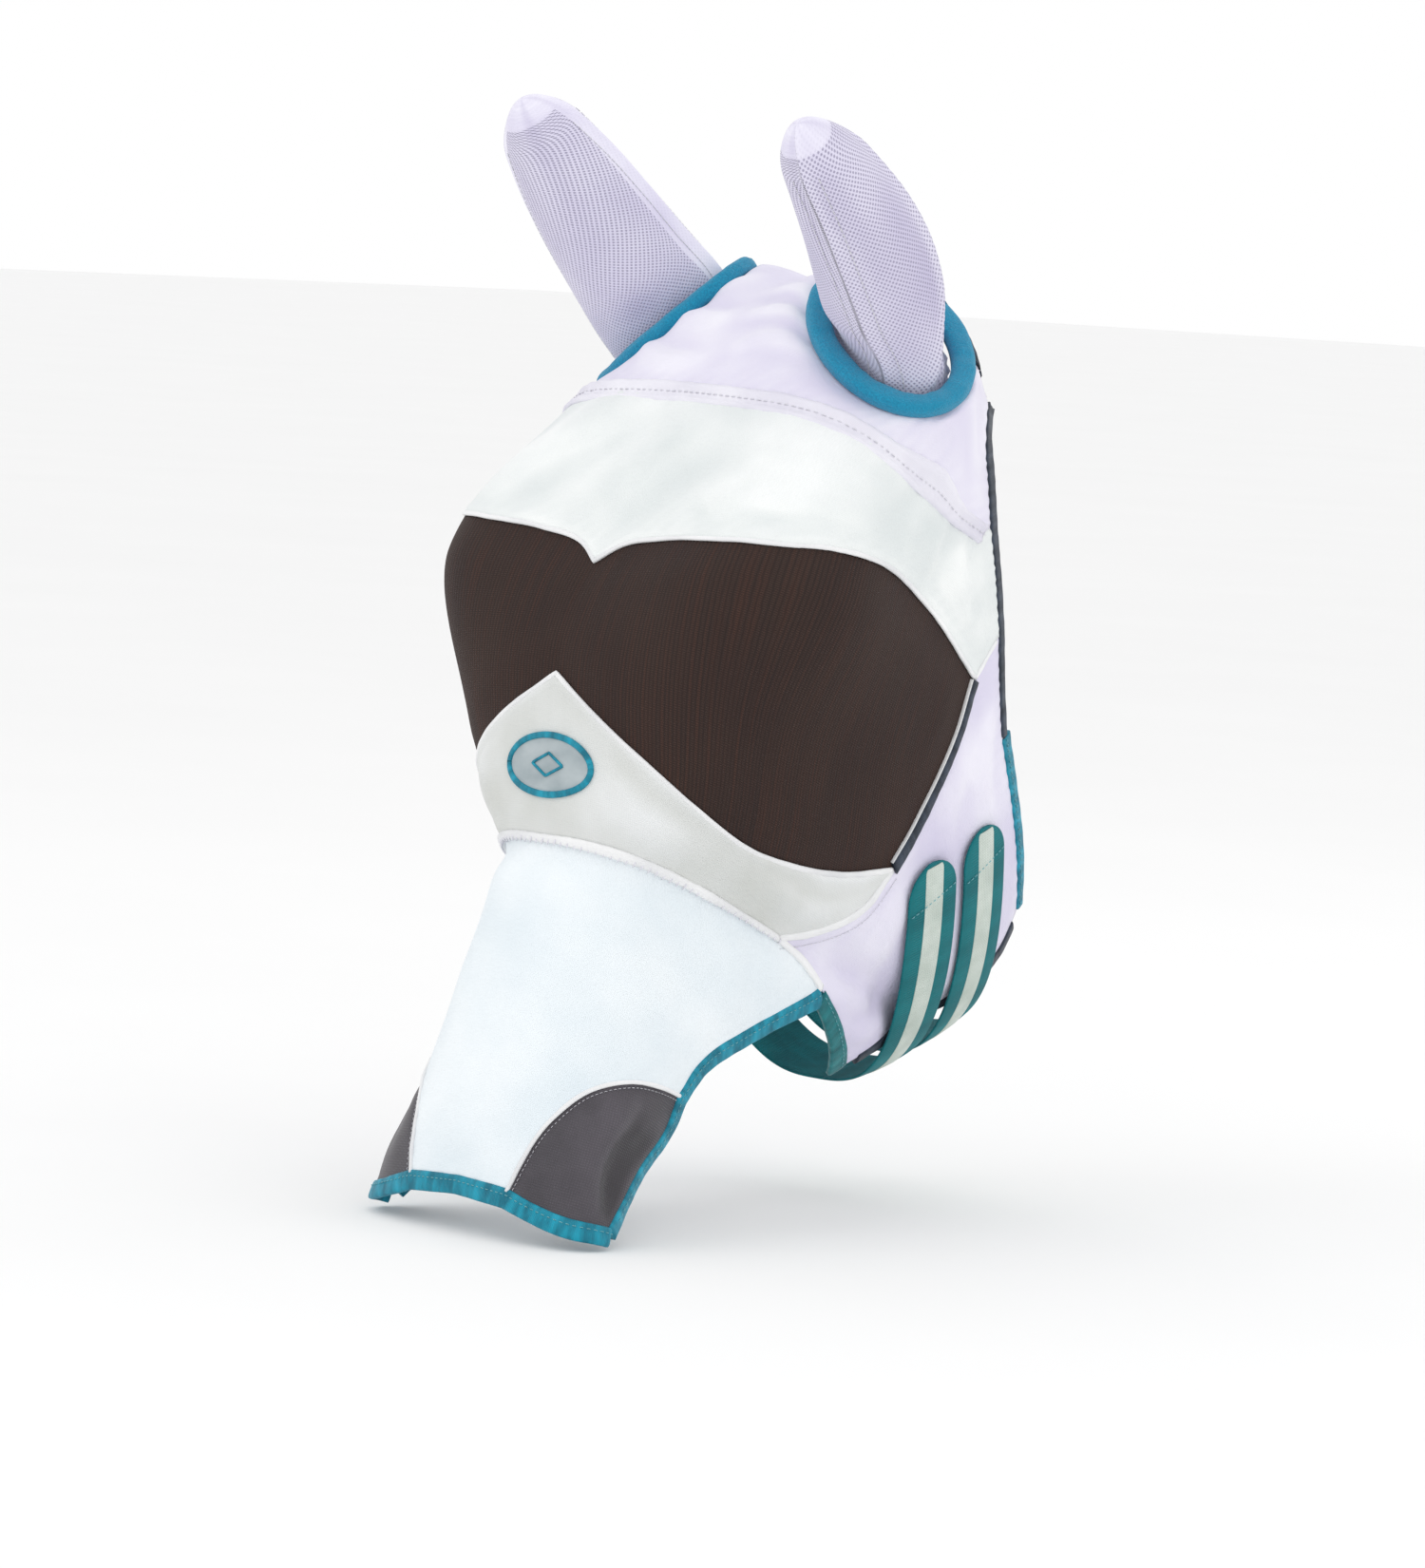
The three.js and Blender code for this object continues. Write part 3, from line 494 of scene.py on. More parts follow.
def ear_mesh():
    """Knitted mesh with staggered rows of holes, plain where it is doubled at the seams."""
    f = Finish("ear mesh", 0.8, Sheen_Weight=0.3, Sheen_Roughness=0.4)
    rows = [f.weave(EAR_HOLES, EAR_HOLES, place=f.flat(shift=x)) for x in (0, EAR_HOLES / 2)]
    open_part = f.span(f.value("margin"), 0.35, 0.65, 1, 0.12)
    holes = f.math("MULTIPLY", f.span(f.math("MAXIMUM", *rows), 0.5, 0.9), open_part)
    colour = f.tint("efedf8", "dfdbee", f.noise(0.02, 0.02), 0.3, 0.7)
    colour = f.mix(f.math("MULTIPLY", open_part, 0.55), colour, "cfcae2")
    # painted shade: darker where the lift is low, in the valleys of the folds
    colour = f.tint(colour, "b3abcd", f.value("lift"), 0.3, -2.0, 0, 0.7)
    colour = f.mix(f.math("MULTIPLY", holes, 0.75), colour, "8f88a8")
    return f.dress(colour, (f.math("MULTIPLY", holes, -1.0), 0.35))


def fleece():
    f = Finish("fleece", 0.95, Sheen_Weight=0.2, Sheen_Roughness=0.5)
    curl, lump = f.noise(0.9, 0.9, 5, 0.7), f.noise(0.12, 0.12)
    colour = f.tint("0878a0", "12a2c8", curl, 0.35, 0.65)
    colour = f.tint(colour, "0f88ad", lump, 0.4, 0.75, 0, 0.5)
    return f.dress(colour, (curl, 0.9), (lump, 1.2))


def satin(name, light, dark, pale_fleck):
    """Woven tape: fine cross ribs, a soft gloss and creased shade."""
    f = Finish(name, 0.5, Sheen_Weight=0.03, Specular_IOR_Level=0.28)
    ribs, crease = f.ribs(0.9), f.noise(0.16, 0.05, 4)
    # painted light and shade: darker in the low places of the crease noise and lighter on its high ones,
    # where the same noise bumps the tape
    colour = f.tint(dark, light, crease, 0.36, 0.66)
    # paler flecks at random places over the tape
    colour = f.tint(colour, pale_fleck, f.noise(0.6, 0.6, 4), 0.6, 0.85, 0, 0.3)
    colour = f.tint(colour, dark, ribs, 0.0, 0.6, 0.25, 0.0)
    return f.dress(colour, (ribs, 0.15), (crease, 0.8), roughness=f.span(crease, 0.3, 0.7, 0.5, 0.36))


def webbing(name, light, dark, pitch=1.6):
    f = Finish(name, 0.75, Sheen_Weight=0.04, Specular_IOR_Level=0.25)
    weave, tone = f.weave(pitch, pitch * 0.55), f.noise(0.05, 0.08)
    colour = f.tint(light, dark, tone, 0.3, 0.7)
    colour = f.tint(colour, dark, weave, 0.0, 0.4, 0.35, 0.0)
    return f.dress(colour, (weave, 0.25), (tone, 0.3))


def thread(name, light, dark):
    f = Finish(name, 0.55, Sheen_Weight=0.2)
    twist = f.ribs(0.7, place=f.flat(turn=0.7))
    return f.dress(f.mix(twist, dark, light), (twist, 0.1))


def hooks():
    f = Finish("hook tape", 0.6)
    dots = f.weave(1.7, 1.7)
    return f.dress(f.tint("b9bdc2", "e4e7ea", dots, 0.2, 0.7), (dots, 0.6))


MATERIALS = {
    # one lycra on the crown and the cheeks: the crown's colours are painted lighter, painted light for the
    # top of the head where more light falls
    "crown_lycra": knit("lit crown lycra", "f7f6fc", "dcd7ec", 0.9, sheen=0.35),
    "cheek_lycra": knit("cheek lycra", "f3f1fb", "d5cfe8", 0.9, sheen=0.35),
    "ripstop": knit("ripstop", "f6f8f7", "d9dfdf", 1.2, roughness=0.72),
    # painted shade: the brow's ripstop again, painted darker for the face panel, where less light falls
    "shaded_ripstop": knit("shaded ripstop", "e9ebec", "c9cbc6", 1.2, roughness=0.72),
    "nose_fabric": knit("nose fabric", "f3f8fb", "e0eaf0", 1.0, roughness=0.72, creased=False),
    "seam_roll": knit("seam roll", "f6f5fb", "d8d5e4", 0.9, sheen=0.3, creased=False),
    "eye_mesh": ribbed_mesh(),
    "nostril_mesh": nostril_mesh(),
    "ear_mesh": ear_mesh(),
    "ear_fleece": fleece(),
    "navy_tape": satin("navy tape", "3a4454", "222a36", "5b6776"),
    "teal_tape": satin("teal tape", "109fba", "056c82", "4db4c8"),
    "dark_teal_tape": satin("dark teal tape", "0a8488", "035f66", "2f9a9c"),
    "strap_webbing": webbing("strap webbing", "d8e0d9", "b6c2b9"),
    "strap_edge": webbing("strap edge", "057c82", "025c63"),
    "hook_and_loop": hooks(),
    "badge_satin": webbing("badge satin", "cdd6d9", "a9b6bb", 0.7),
    "white_thread": thread("white thread", "fbfbfd", "cfcddc"),
    "teal_thread": thread("teal thread", "8fd0d8", "2f8f9c"),
    "hem": knit("hem", "fafafa", "dcdde0", 0.8, creased=False),
}


# ---------- meshes ----------
def make(name, points, faces, finish, flat, slot=None, lift=None, margin=None):
    """A mesh from points in millimetres, with its place on the flat cloth for the weave."""
    mesh = bpy.data.meshes.new(name)
    metres = (np.asarray(points, float).reshape(-1, 3) - POLL) / 1000
    mesh.from_pydata(metres.tolist(), [], [list(map(int, f)) for f in faces])
    mesh.polygons.foreach_set("use_smooth", [True] * len(mesh.polygons))
    place = mesh.attributes.new("flat", "FLOAT_VECTOR", "POINT")
    flat = np.asarray(flat, float).reshape(-1, 2)
    place.data.foreach_set("vector", np.c_[flat, np.zeros(len(flat))].astype(np.float32).ravel())
    for key, values in (("lift", lift), ("margin", margin)):
        if values is not None:
            data = mesh.attributes.new(key, "FLOAT", "POINT").data
            data.foreach_set("value", np.asarray(values, np.float32).ravel())
    mesh.materials.append(MATERIALS[finish])
    mesh.validate()
    piece = bpy.data.objects.new(name, mesh)
    bpy.context.scene.collection.objects.link(piece)
    return piece


def grid_faces(rows, columns, loop=False):
    """Quads of a grid of points; loop joins the last row to the first."""
    i, j = np.meshgrid(np.arange(rows if loop else rows - 1), np.arange(columns - 1), indexing="ij")
    i, j, k = i.ravel(), j.ravel(), (i.ravel() + 1) % rows
    return np.stack([i * columns + j, k * columns + j, k * columns + j + 1, i * columns + j + 1], -1)


def ring_faces(rings, size, loop=False):
    """Quads of a skin over closed rings of that many points each."""
    faces = grid_faces(rings, size + 1, loop)
    return faces // (size + 1) * size + faces % (size + 1) % size


def facing_out(points, faces, normals):
    """The same faces, turned so that they face the way the normals do."""
    p = np.asarray(points).reshape(-1, 3)
    n = np.asarray(normals).reshape(-1, 3)
    way = np.cross(p[faces[:, 1]] - p[faces[:, 0]], p[faces[:, 2]] - p[faces[:, 0]])
    return faces[:, ::-1] if (way * n[faces[:, 0]]).sum() < 0 else faces


def thicken(piece, thickness=FABRIC):
    solid = piece.modifiers.new("cloth", "SOLIDIFY")
    solid.thickness = thickness / 1000
    solid.offset = -1
    return piece


def patch(top, bottom, left=None, right=None, cell=CELL):
    """A grid of [a, s] between four paths, with each point's distance to the four edges."""
    left = np.array([top[0], bottom[0]]) if left is None else left
    right = np.array([top[-1], bottom[-1]]) if right is None else right
    long = max(lengths(top)[-1], lengths(bottom)[-1])
    middle = point_on(top, np.linspace(0, 1, 9)) - point_on(bottom, np.linspace(0, 1, 9))
    wide = np.linalg.norm(middle, axis=1).max()
    u = np.linspace(0, 1, 2 * math.ceil(long / cell / 2) + 1)[:, None, None]
    v = np.linspace(0, 1, max(3, math.ceil(wide / cell)) + 1)[None, :, None]
    across = point_on(top, u[:, 0, 0])[:, None] * (1 - v) + point_on(bottom, u[:, 0, 0])[:, None] * v
    down = point_on(left, v[0, :, 0])[None] * (1 - u) + point_on(right, v[0, :, 0])[None] * u
    corners = (top[0] * (1 - u) + top[-1] * u) * (1 - v) + (bottom[0] * (1 - u) + bottom[-1] * u) * v
    place = across + down - corners
    height = np.linalg.norm(place[:, 0] - place[:, -1], axis=1)[:, None]
    width = np.linalg.norm(np.diff(place, axis=0), axis=2).sum(0)[None, :]
    u, v = u[..., 0], v[..., 0]
    edges = Sizes(top=v * height, bottom=(1 - v) * height, left=u * width, right=(1 - u) * width)
    edges.near = np.minimum.reduce([edges.top, edges.bottom, edges.left, edges.right])
    return place, edges


def panel(name, finish, *paths, level=0.4, lift=None, slot=None, keep=None, cell=CELL):
    """A panel of cloth on the form. lift gives its folds, and keep drops what is cut away."""
    place, edges = patch(*paths, cell=cell)
    a, s = place[..., 0], place[..., 1]
    folded = lift(a, s, edges) if lift else np.zeros_like(a)
    points, normals = on_form(a, s)
    faces = facing_out(points, grid_faces(*a.shape), normals)
    points = points + normals * (level + FABRIC + folded)[..., None]
    if keep is not None:
        faces = faces[keep(points.reshape(-1, 3)[faces].mean(1))]
    piece = make(name, points, faces, finish, np.stack([s, a], -1), slot, folded)
    return thicken(piece)


def whole_panel(name, finish, top, bottom, right=None, **more):
    """A panel across the middle of the face, from the paths of its near half."""
    sides = [] if right is None else [right * [1, -1], right]
    return panel(name, finish, both_sides(top), both_sides(bottom), *sides, **more)


def flip(piece):
    """Turns a near piece into a far one."""
    piece.data.transform(Matrix.Diagonal((-1, 1, 1, 1)))
    piece.data.flip_normals()


def mirrored(piece, name):
    """The far side's twin of a near piece."""
    twin = piece.copy()
    twin.data = piece.data.copy()
    twin.name = twin.data.name = name
    flip(twin)
    bpy.context.scene.collection.objects.link(twin)
    return twin


def rounded(wide, low, high, centre=0.0, power=2.6, count=14):
    """A cushioned profile of [across, out] points."""
    angles = np.arange(count) / count * 2 * math.pi
    c, s = np.cos(angles), np.sin(angles)
    across = centre + wide / 2 * np.sign(c) * np.abs(c) ** (2 / power)
    out = (low + high) / 2 + (high - low) / 2 * np.sign(s) * np.abs(s) ** (2 / power)
    return np.stack([across, out], -1)


def along_path(path, gap, loop=False):
    """Evenly spaced points on a path, the direction to their left and the distance along."""
    centre = spaced(path, gap)
    reach = lengths(centre)
    ahead = np.gradient(centre, axis=0)
    if loop:
        centre, reach = centre[:-1], reach[:-1]
        ahead = np.roll(centre, -1, 0) - np.roll(centre, 1, 0)
    ahead = unit(ahead)
    return centre, ahead[:, ::-1] * [-1, 1], reach


def sweep(name, finish, path, profile, side=1, loop=False, slot=None, wobble=None, gap=FINE):
    """A profile swept along a path on the form. wobble gives the swelling and the lift."""
    centre, aside, reach = along_path(path, gap, loop)
    across, out = (np.tile(profile[:, k], (len(centre), 1)) for k in (0, 1))
    if wobble:
        swell, lift = wobble(reach[:, None])
        middle = profile[:, 0].mean()
        across, out = middle + (across - middle) * (1 + swell), out * (1 + swell) + lift
    place = centre[:, None] + side * aside[:, None] * across[..., None]
    points = over(place[..., 0], place[..., 1], out)
    return tube(name, finish, points, reach, loop, slot)


def tube(name, finish, points, reach, loop=False, slot=None):
    """A closed skin over rings of points."""
    rings, size = points.shape[:2]
    faces = ring_faces(rings, size, loop)
    turned = facing_out(points, faces, points - points.mean(1, keepdims=True))
    caps = [] if loop else [list(range(size)), [(rings - 1) * size + k for k in reversed(range(size))]]
    if turned[0][0] != faces[0][0]:
        caps = [cap[::-1] for cap in caps]
    flat = np.stack(np.broadcast_arrays(reach[:, None], lengths(points[0])), -1)
    return make(name, points, [*turned.tolist(), *caps], finish, flat, slot)


def puckers(size, high, seed, pitch=11):
    """Uneven gathers along a sewn edge."""

    def wobble(reach):
        beat = np.sin(reach / pitch * 2 * math.pi + 2 * cloud(reach, 0 * reach, 30, seed))
        swell = size * cloud(reach, 0 * reach + 5, 14, seed + 1)
        return swell, high * beat * (0.6 + 0.4 * cloud(reach, 0 * reach, 47, seed + 2))

    return wobble


def stitches(name, finish, path, side, out, pitch, long=2.8, radius=0.38, slant=0.0, slot="seam_roll"):
    """A row of thread stitches beside a path; slant turns each one across the row."""
    count = int(lengths(path)[-1] / pitch)
    centre, aside, _ = along_path(path, lengths(path)[-1] / count)
    ahead = aside[:, ::-1] * [1, -1]
    middle = centre + aside * side
    way = math.cos(slant) * ahead + math.sin(slant) * aside
    steps = np.linspace(-0.5, 0.5, 5)
    place = middle[:, None] + way[:, None] * (steps * long)[None, :, None]
    points, normals = on_form(place[..., 0], place[..., 1])
    arch = out + 0.35 - 2.6 * steps**2
    points = points + normals * arch[None, :, None]
    return threads(name, finish, points, normals, radius, slot)


THREAD_SIDES = 6


def threads(name, finish, lines, normals, radius, slot="seam_roll"):
    """Short round threads, one for each line of points."""
    many, rings = lines.shape[:2]
    ahead = unit(np.gradient(lines, axis=1))
    aside = unit(np.cross(ahead, normals))
    up = np.cross(aside, ahead)
    angles = np.arange(THREAD_SIDES) / THREAD_SIDES * 2 * math.pi
    swell = radius * np.array([0.55, 1, 1, 1, 0.55])[None, :, None, None]
    spokes = np.cos(angles)[:, None] * aside[:, :, None] + np.sin(angles)[:, None] * up[:, :, None]
    points = lines[:, :, None] + swell * spokes
    size, last = rings * THREAD_SIDES, (rings - 1) * THREAD_SIDES
    one = facing_out(points[0], ring_faces(rings, THREAD_SIDES), spokes[0]).tolist()
    one += [list(range(THREAD_SIDES)), [last + n for n in reversed(range(THREAD_SIDES))]]
    faces = [[k * size + n for n in face] for k in range(many) for face in one]
    flat = np.stack(np.broadcast_arrays(np.arange(rings)[None, :, None] * 0.7, angles), -1)
    return make(name, points, faces, finish, np.broadcast_to(flat, (many, rings, THREAD_SIDES, 2)), slot)


def ride(piece, *nodes, body="root"):
    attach(piece, body)
    if nodes:
        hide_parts(*nodes)
    return piece


def flat_places(piece):
    """Each vertex's place on the flat cloth, in metres."""
    flat = np.empty(len(piece.data.vertices) * 3, np.float32)
    piece.data.attributes["flat"].data.foreach_get("vector", flat)
    return flat.reshape(-1, 3)[:, :2].astype(float) / 1000


def flat_size(piece):
    """Width and length of a panel's cut."""
    flat = flat_places(piece)
    return tuple(float(x) for x in flat.max(0) - flat.min(0))


SEAM_STEP = 0.05  # a face that spans more of the flat cloth than this crosses the cut's closing seam


def cut_area(piece):
    """Area of a sheet's flat cut in square metres, taken before it is bent round the head."""
    flat = flat_places(piece)
    total = 0.0
    for face in piece.data.polygons:
        here = flat[list(face.vertices)]
        ahead = np.roll(here, -1, axis=0)
        if np.ptp(here, axis=0).max() < SEAM_STEP:
            total += abs((here[:, 0] * ahead[:, 1] - ahead[:, 0] * here[:, 1]).sum()) / 2
    return float(total)


def declare_sheet(piece, flat=None):
    """Works out the size and area of a sheet's flat cut, in metres, and does nothing more with them."""
    flat = flat or flat_size(piece)
    area = min(cut_area(piece), flat[0] * flat[1])


def add_pair(piece, node=None, sheet_on=None):
    """Rides a near piece and its twin, which can stand for a pair of CAD nodes."""
    name = piece.name
    piece.name = piece.data.name = name + "_left"
    twin = mirrored(piece, name + "_right")
    for each, side in ((piece, "_left"), (twin, "_right")):
        ride(each, *([node + side] if node else []))
        if sheet_on:
            declare_sheet(each)
    return piece, twin


# ---------- panels ----------
def seam_gathers(a, s, edges, high=0.35, deep=9, pitch=12, seed=3):
    """Small gathers that die away from a sewn edge."""
    wave = np.sin((a + s) / pitch * 2 * math.pi + 3 * cloud(a, s, 28, seed))
    return high * wave * np.exp(-edges.near / deep) * smoothstep(0, 2, edges.near)


def crown_lift(a, s, edges):
    inward = [
        ((16, 50), (2, 6), 6, 2.6),
        ((30, 56), (28, 4), 5, 2.2),
        ((46, 60), (50, 12), 6, 1.8),
        ((4, 54), (-14, 14), 6, 1.8),
        ((24, -54), (30, -6), 7, 2.4),
        ((46, -66), (60, -8), 6, 2.0),
        ((6, -54), (-8, -14), 6, 1.8),
        ((40, 170), (74, 150), 6, 1.4),
        ((70, 196), (76, 130), 5, 1.2),
    ]
    broad = 0.9 * cloud(a, s, 42, 11) + 0.4 * cloud(a, s, 17, 12)
    return folds(a, s, inward) + broad * smoothstep(2, 16, edges.near) + seam_gathers(a, s, edges)


def clear_of_ears(centres):
    p = centres * np.where(centres[:, :1] < 0, [-1, 1, 1], [1, 1, 1])
    _, far = ring_place(p)
    inner = (RING.long - 0.55 * RING.wide) / RING.long
    return far > inner


def add_crown():
    crown = whole_panel("crown", "crown_lycra", rear_crown, brow_seam, lift=crown_lift, keep=clear_of_ears)
    ride(crown, "crown_panel")
    two_ridges = [[-2, 0.8], [-1.6, 2.6], [0, 3.9], [1.8, 3.8], [3.4, 2.9], [6, 2.5], [8, 2.7], [9.4, 3.5]]
    two_ridges += [[10.8, 3.3], [11.8, 2.2], [12, 0.9], [8, 0.7], [3, 0.7]]
    seam = both_sides(part_of(brow_seam, 0, -9))
    gathers = puckers(0.06, 0.35, 21, 13)
    roll = sweep("brow_seam_band", "seam_roll", seam, np.array(two_ridges), side=-1, wobble=gathers)
    ride(roll, "brow_seam_roll")
    row = stitches("brow_stitches", "white_thread", seam, side=-5.4, out=2.7, pitch=4.4)
    ride(row)
    declare_sheet(crown)


def brow_lift(a, s, edges):
    creases = [
        ((92, -30), (168, -96), 17, 3.4),
        ((96, 34), (160, -10), 20, 2.6),
        ((150, 70), (168, 96), 8, 2.2),
        ((158, 56), (150, 118), 7, -1.8),
        ((112, 196), (166, 212), 8, 2.6),
        ((118, 224), (150, 262), 8, 2.0),
        ((104, 160), (150, 168), 10, -1.4),
        ((146, 196), (142, 262), 9, -1.8),
        ((96, 110), (140, 132), 14, 1.4),
    ]
    broad = 1.3 * cloud(a, s, 55, 31) + 0.45 * cloud(a, s, 20, 32)
    slack = smoothstep(2, 20, edges.near)
    hem = 0.9 * bell(edges.bottom - 2.2, 2.4)
    return (folds(a, s, creases) + broad) * slack + hem + seam_gathers(a, s, edges, seed=5)


def mesh_lift(a, s, edges):
    broad = 0.9 * cloud(a, s, 60, 41) + 0.3 * cloud(a, s, 24, 42)
    proud = 2.2 * smoothstep(0, 26, edges.near)
    return broad * smoothstep(0, 22, edges.near) + proud - 0.3


def face_lift(a, s, edges):
    creases = [
        ((322, 150), (318, 214), 7, 1.6),
        ((306, 40), (324, 96), 12, 1.6),
        ((300, -40), (322, -100), 12, 1.6),
    ]
    broad = 0.9 * cloud(a, s, 45, 51) + 0.3 * cloud(a, s, 18, 52)
    hem = 0.8 * bell(edges.top - 2, 2.2)
    away = 1 - bell(np.hypot(a - BADGE.a, s - BADGE.s), 40)
    return (folds(a, s, creases) + broad * away) * smoothstep(2, 16, edges.near) + hem


def nose_lift(a, s, edges):
    creases = [
        ((352, -20), (430, -36), 16, 1.8),
        ((356, 60), (420, 92), 18, 1.6),
        ((360, 130), (392, 146), 9, 1.6),
        ((470, -8), (515, 6), 14, 1.4),
    ]
    broad = 1.0 * cloud(a, s, 70, 61) + 0.3 * cloud(a, s, 26, 62)
    return (folds(a, s, creases) + broad) * smoothstep(2, 20, edges.near) + seam_gathers(a, s, edges, 0.25)


def insert_lift(a, s, edges):
    creases = [
        ((464, 88), (524, 84), 7, 3.2),
        ((474, 112), (520, 92), 9, -3.0),
        ((478, 66), (520, 66), 12, 1.6),
    ]
    return (folds(a, s, creases) + 0.5 * cloud(a, s, 22, 71)) * smoothstep(0, 8, edges.near)


def add_face():
    brow_rear, low = joined(rear_brow, brow_to_mesh), joined(nose_seam, face_low)
    nose_top = joined(nose_seam, nose_seam_end)
    nose_edge = joined(nose_front, insert_top[::-1], nose_low[::-1])
    brow = whole_panel("brow", "ripstop", brow_seam, mesh_top, brow_rear, lift=brow_lift, level=0.8)
    mesh = whole_panel("eye_screen", "eye_mesh", mesh_top, mesh_low, mesh_rear, lift=mesh_lift, level=0.2)
    face = whole_panel("face", "shaded_ripstop", mesh_low, low, lift=face_lift, level=0.8, slot="ripstop")
    nose = whole_panel("nose", "nose_fabric", nose_top, nose_edge, lift=nose_lift, cell=2.6)
    seam, gathers = both_sides(nose_seam), puckers(0.1, 0.25, 81, 9)
    roll = sweep("nose_seam_cord", "hem", seam, rounded(5, 0.6, 4.2), wobble=gathers, slot="seam_roll")
    overlock = dict(side=-1.2, pitch=4.5, long=4.6, out=3.6, radius=0.55, slant=1.2)
    ticks = ride(stitches("nose_overlock", "white_thread", seam, **overlock))
    ride(roll, "nose_seam_roll")
    plans = [(brow, "brow_panel", "crown_panel", []), (mesh, "eye_mesh", "brow_panel", [])]
    plans += [(face, "face_panel", "eye_mesh", []), (nose, "nose_panel", "face_panel", [ticks])]
    for piece, node, under, sewn_on in plans:
        declare_sheet(ride(piece, node))


def add_hems():
    """Turned edges that lie over a neighbouring panel, and the fine stitches beside them."""
    thin = rounded(2.6, 0.9, 2.9)
    for name, path in (("brow_hem", mesh_top), ("face_hem", mesh_low)):
        wobble = puckers(0.12, 0.15, 91, 17)
        ride(sweep(name, "hem", both_sides(path), thin, slot="ripstop", wobble=wobble))
    narrow = rounded(2.4, 0.9, 2.8)
    pairs = {
        "face_side_hem": (face_low, rounded(3.4, 0.8, 3.0)),
        "nose_side_hem": (part_of(nose_seam_end, 0, -1), rounded(5.5, 0.6, 3.6)),
        "nostril_hem": (insert_top, narrow),
        "brow_side_hem": (part_of(brow_to_mesh, 6, 0), narrow),
    }
    for name, (path, profile) in pairs.items():
        add_pair(sweep(name, "hem", path, profile, slot="ripstop", wobble=puckers(0.1, 0.12, 95, 15)))
    fine = dict(pitch=2.8, long=1.9, radius=0.17)
    add_pair(stitches("face_low_stitches", "white_thread", face_low, side=-5.5, out=2.0, **fine))
    add_pair(stitches("nostril_stitches", "white_thread", insert_top, side=3.0, out=1.7, **fine))


def cheek_lift(a, s, edges):
    creases = [
        ((356, 222), (340, 262), 7, 1.8),
        ((372, 246), (352, 276), 6, 1.6),
        ((220, 300), (262, 300), 12, 1.6),
        ((180, 322), (230, 338), 10, 1.4),
        ((300, 262), (352, 250), 10, 1.8),
    ]
    broad = 0.8 * cloud(a, s, 48, 101) + 0.35 * cloud(a, s, 18, 102)
    return (folds(a, s, creases) + broad) * smoothstep(2, 16, edges.near) + seam_gathers(a, s, edges)


def add_cheeks():
    top = joined(nose_seam_end[::-1], face_low, mesh_rear[::-1], brow_to_mesh[::-1])
    rear = joined(rear_cheek, rear_throat)
    cheek = panel("cheek", "cheek_lycra", top, jaw_edge, cheek_front, rear, lift=cheek_lift)
    add_pair(cheek, "cheek_panel", "brow_panel")
    edge = joined(insert_low, insert_front)
    insert = panel("nostril", "nostril_mesh", insert_top, edge, lift=insert_lift, level=0.2, cell=2.2)
    add_pair(insert, "nostril_insert", "nose_panel")


def add_bindings():
    wide = rounded(TAPE_WIDE + 1, -1.4, 2.8, TAPE_WIDE / 2 - 1.2, power=4, count=20)
    slim = rounded(6.6, -1.2, 2.7, 1.4, power=4, count=18)
    soft = puckers(0.03, 0.12, 111, 14)
    rear = both_sides(joined(rear_crown, rear_brow, rear_cheek))
    front = both_sides(joined(nose_front, insert_front[::-1]))
    nose_side = joined(nose_low, insert_low)
    ride(sweep("rear_tape", "navy_tape", rear, slim, wobble=soft), "rear_binding")
    add_pair(sweep("rear_tape_end", "navy_tape", part_of(rear_throat, 1, 30), rounded(5, -0.6, 2.4, 1.2, 4)))
    pairs = {
        "throat": ("teal_tape", part_of(rear_throat, 1, -0.5), wide, 1),
        "jaw": ("navy_tape", part_of(jaw_edge, TAPE_WIDE, -TAPE_WIDE), slim, -1),
        "cheek": ("dark_teal_tape", part_of(cheek_front, 3, -1), wide, -1),
        "nose_side": ("teal_tape", part_of(nose_side, 2, -0.5), wide, 1),
    }
    for name, (finish, path, profile, side) in pairs.items():
        add_pair(sweep(name + "_tape", finish, path, profile, side, wobble=soft), name + "_binding")
    ride(sweep("nose_front_tape", "teal_tape", front, wide, side=-1, wobble=soft), "nose_front_binding")
    rows = {
        "nose_side_stitches": (part_of(nose_side, 4, -9), 1.6),
        "throat_stitches": (part_of(rear_throat, 3, -3), 1.6),
        "cheek_stitches": (part_of(cheek_front, 5, -3), -1.6),
    }
    size = dict(out=2.8, pitch=3.4, long=2.2, radius=0.26, slot="teal_tape")
    for name, (path, side) in rows.items():
        add_pair(stitches(name, "teal_thread", path, side=side, **size))
    ride(stitches("nose_front_stitches", "teal_thread", front, side=-1.6, **size))


def add_piping():
    path, gathers = part_of(mesh_rear, 1.5, -1.5), puckers(0.05, 0.15, 121)
    piping = sweep("eye_piping", "navy_tape", path, rounded(6.2, 0.8, 4.0, power=3), wobble=gathers)
    add_pair(piping, "eye_piping")
    add_pair(sweep("eye_piping_edge", "hem", path, rounded(0.8, 1.0, 3.2, -3.3), slot="seam_roll"))


def ellipse(grow, count=60):
    angles = np.arange(count + 1) / count * 2 * math.pi
    a = BADGE.a - (BADGE.ra - grow) * np.sin(angles)
    return np.stack([a, BADGE.s - (BADGE.rs - grow) * np.cos(angles)], -1)


def add_badge():
    """A plain woven badge with a satin rim and a small lozenge."""
    outline = ellipse(1.5)
    half = len(outline) // 2
    field = panel("badge", "badge_satin", outline[: half + 1], outline[half:][::-1], level=1.6, cell=2)
    declare_sheet(ride(field, "badge_field"))
    rim = rounded(3.4, 1.8, 3.8, 1.6, 3)
    ride(sweep("badge_edge", "teal_tape", ellipse(0), rim, side=-1, loop=True, gap=1.2), "badge_rim")
    corners = np.array([[-6.0, 0], [0, 11], [6, 0], [0, -11], [-6, 0]]) + [BADGE.a, BADGE.s]
    ride(sweep("badge_lozenge", "teal_tape", corners, rounded(1.6, 2.4, 3.5), loop=True, gap=1.0))


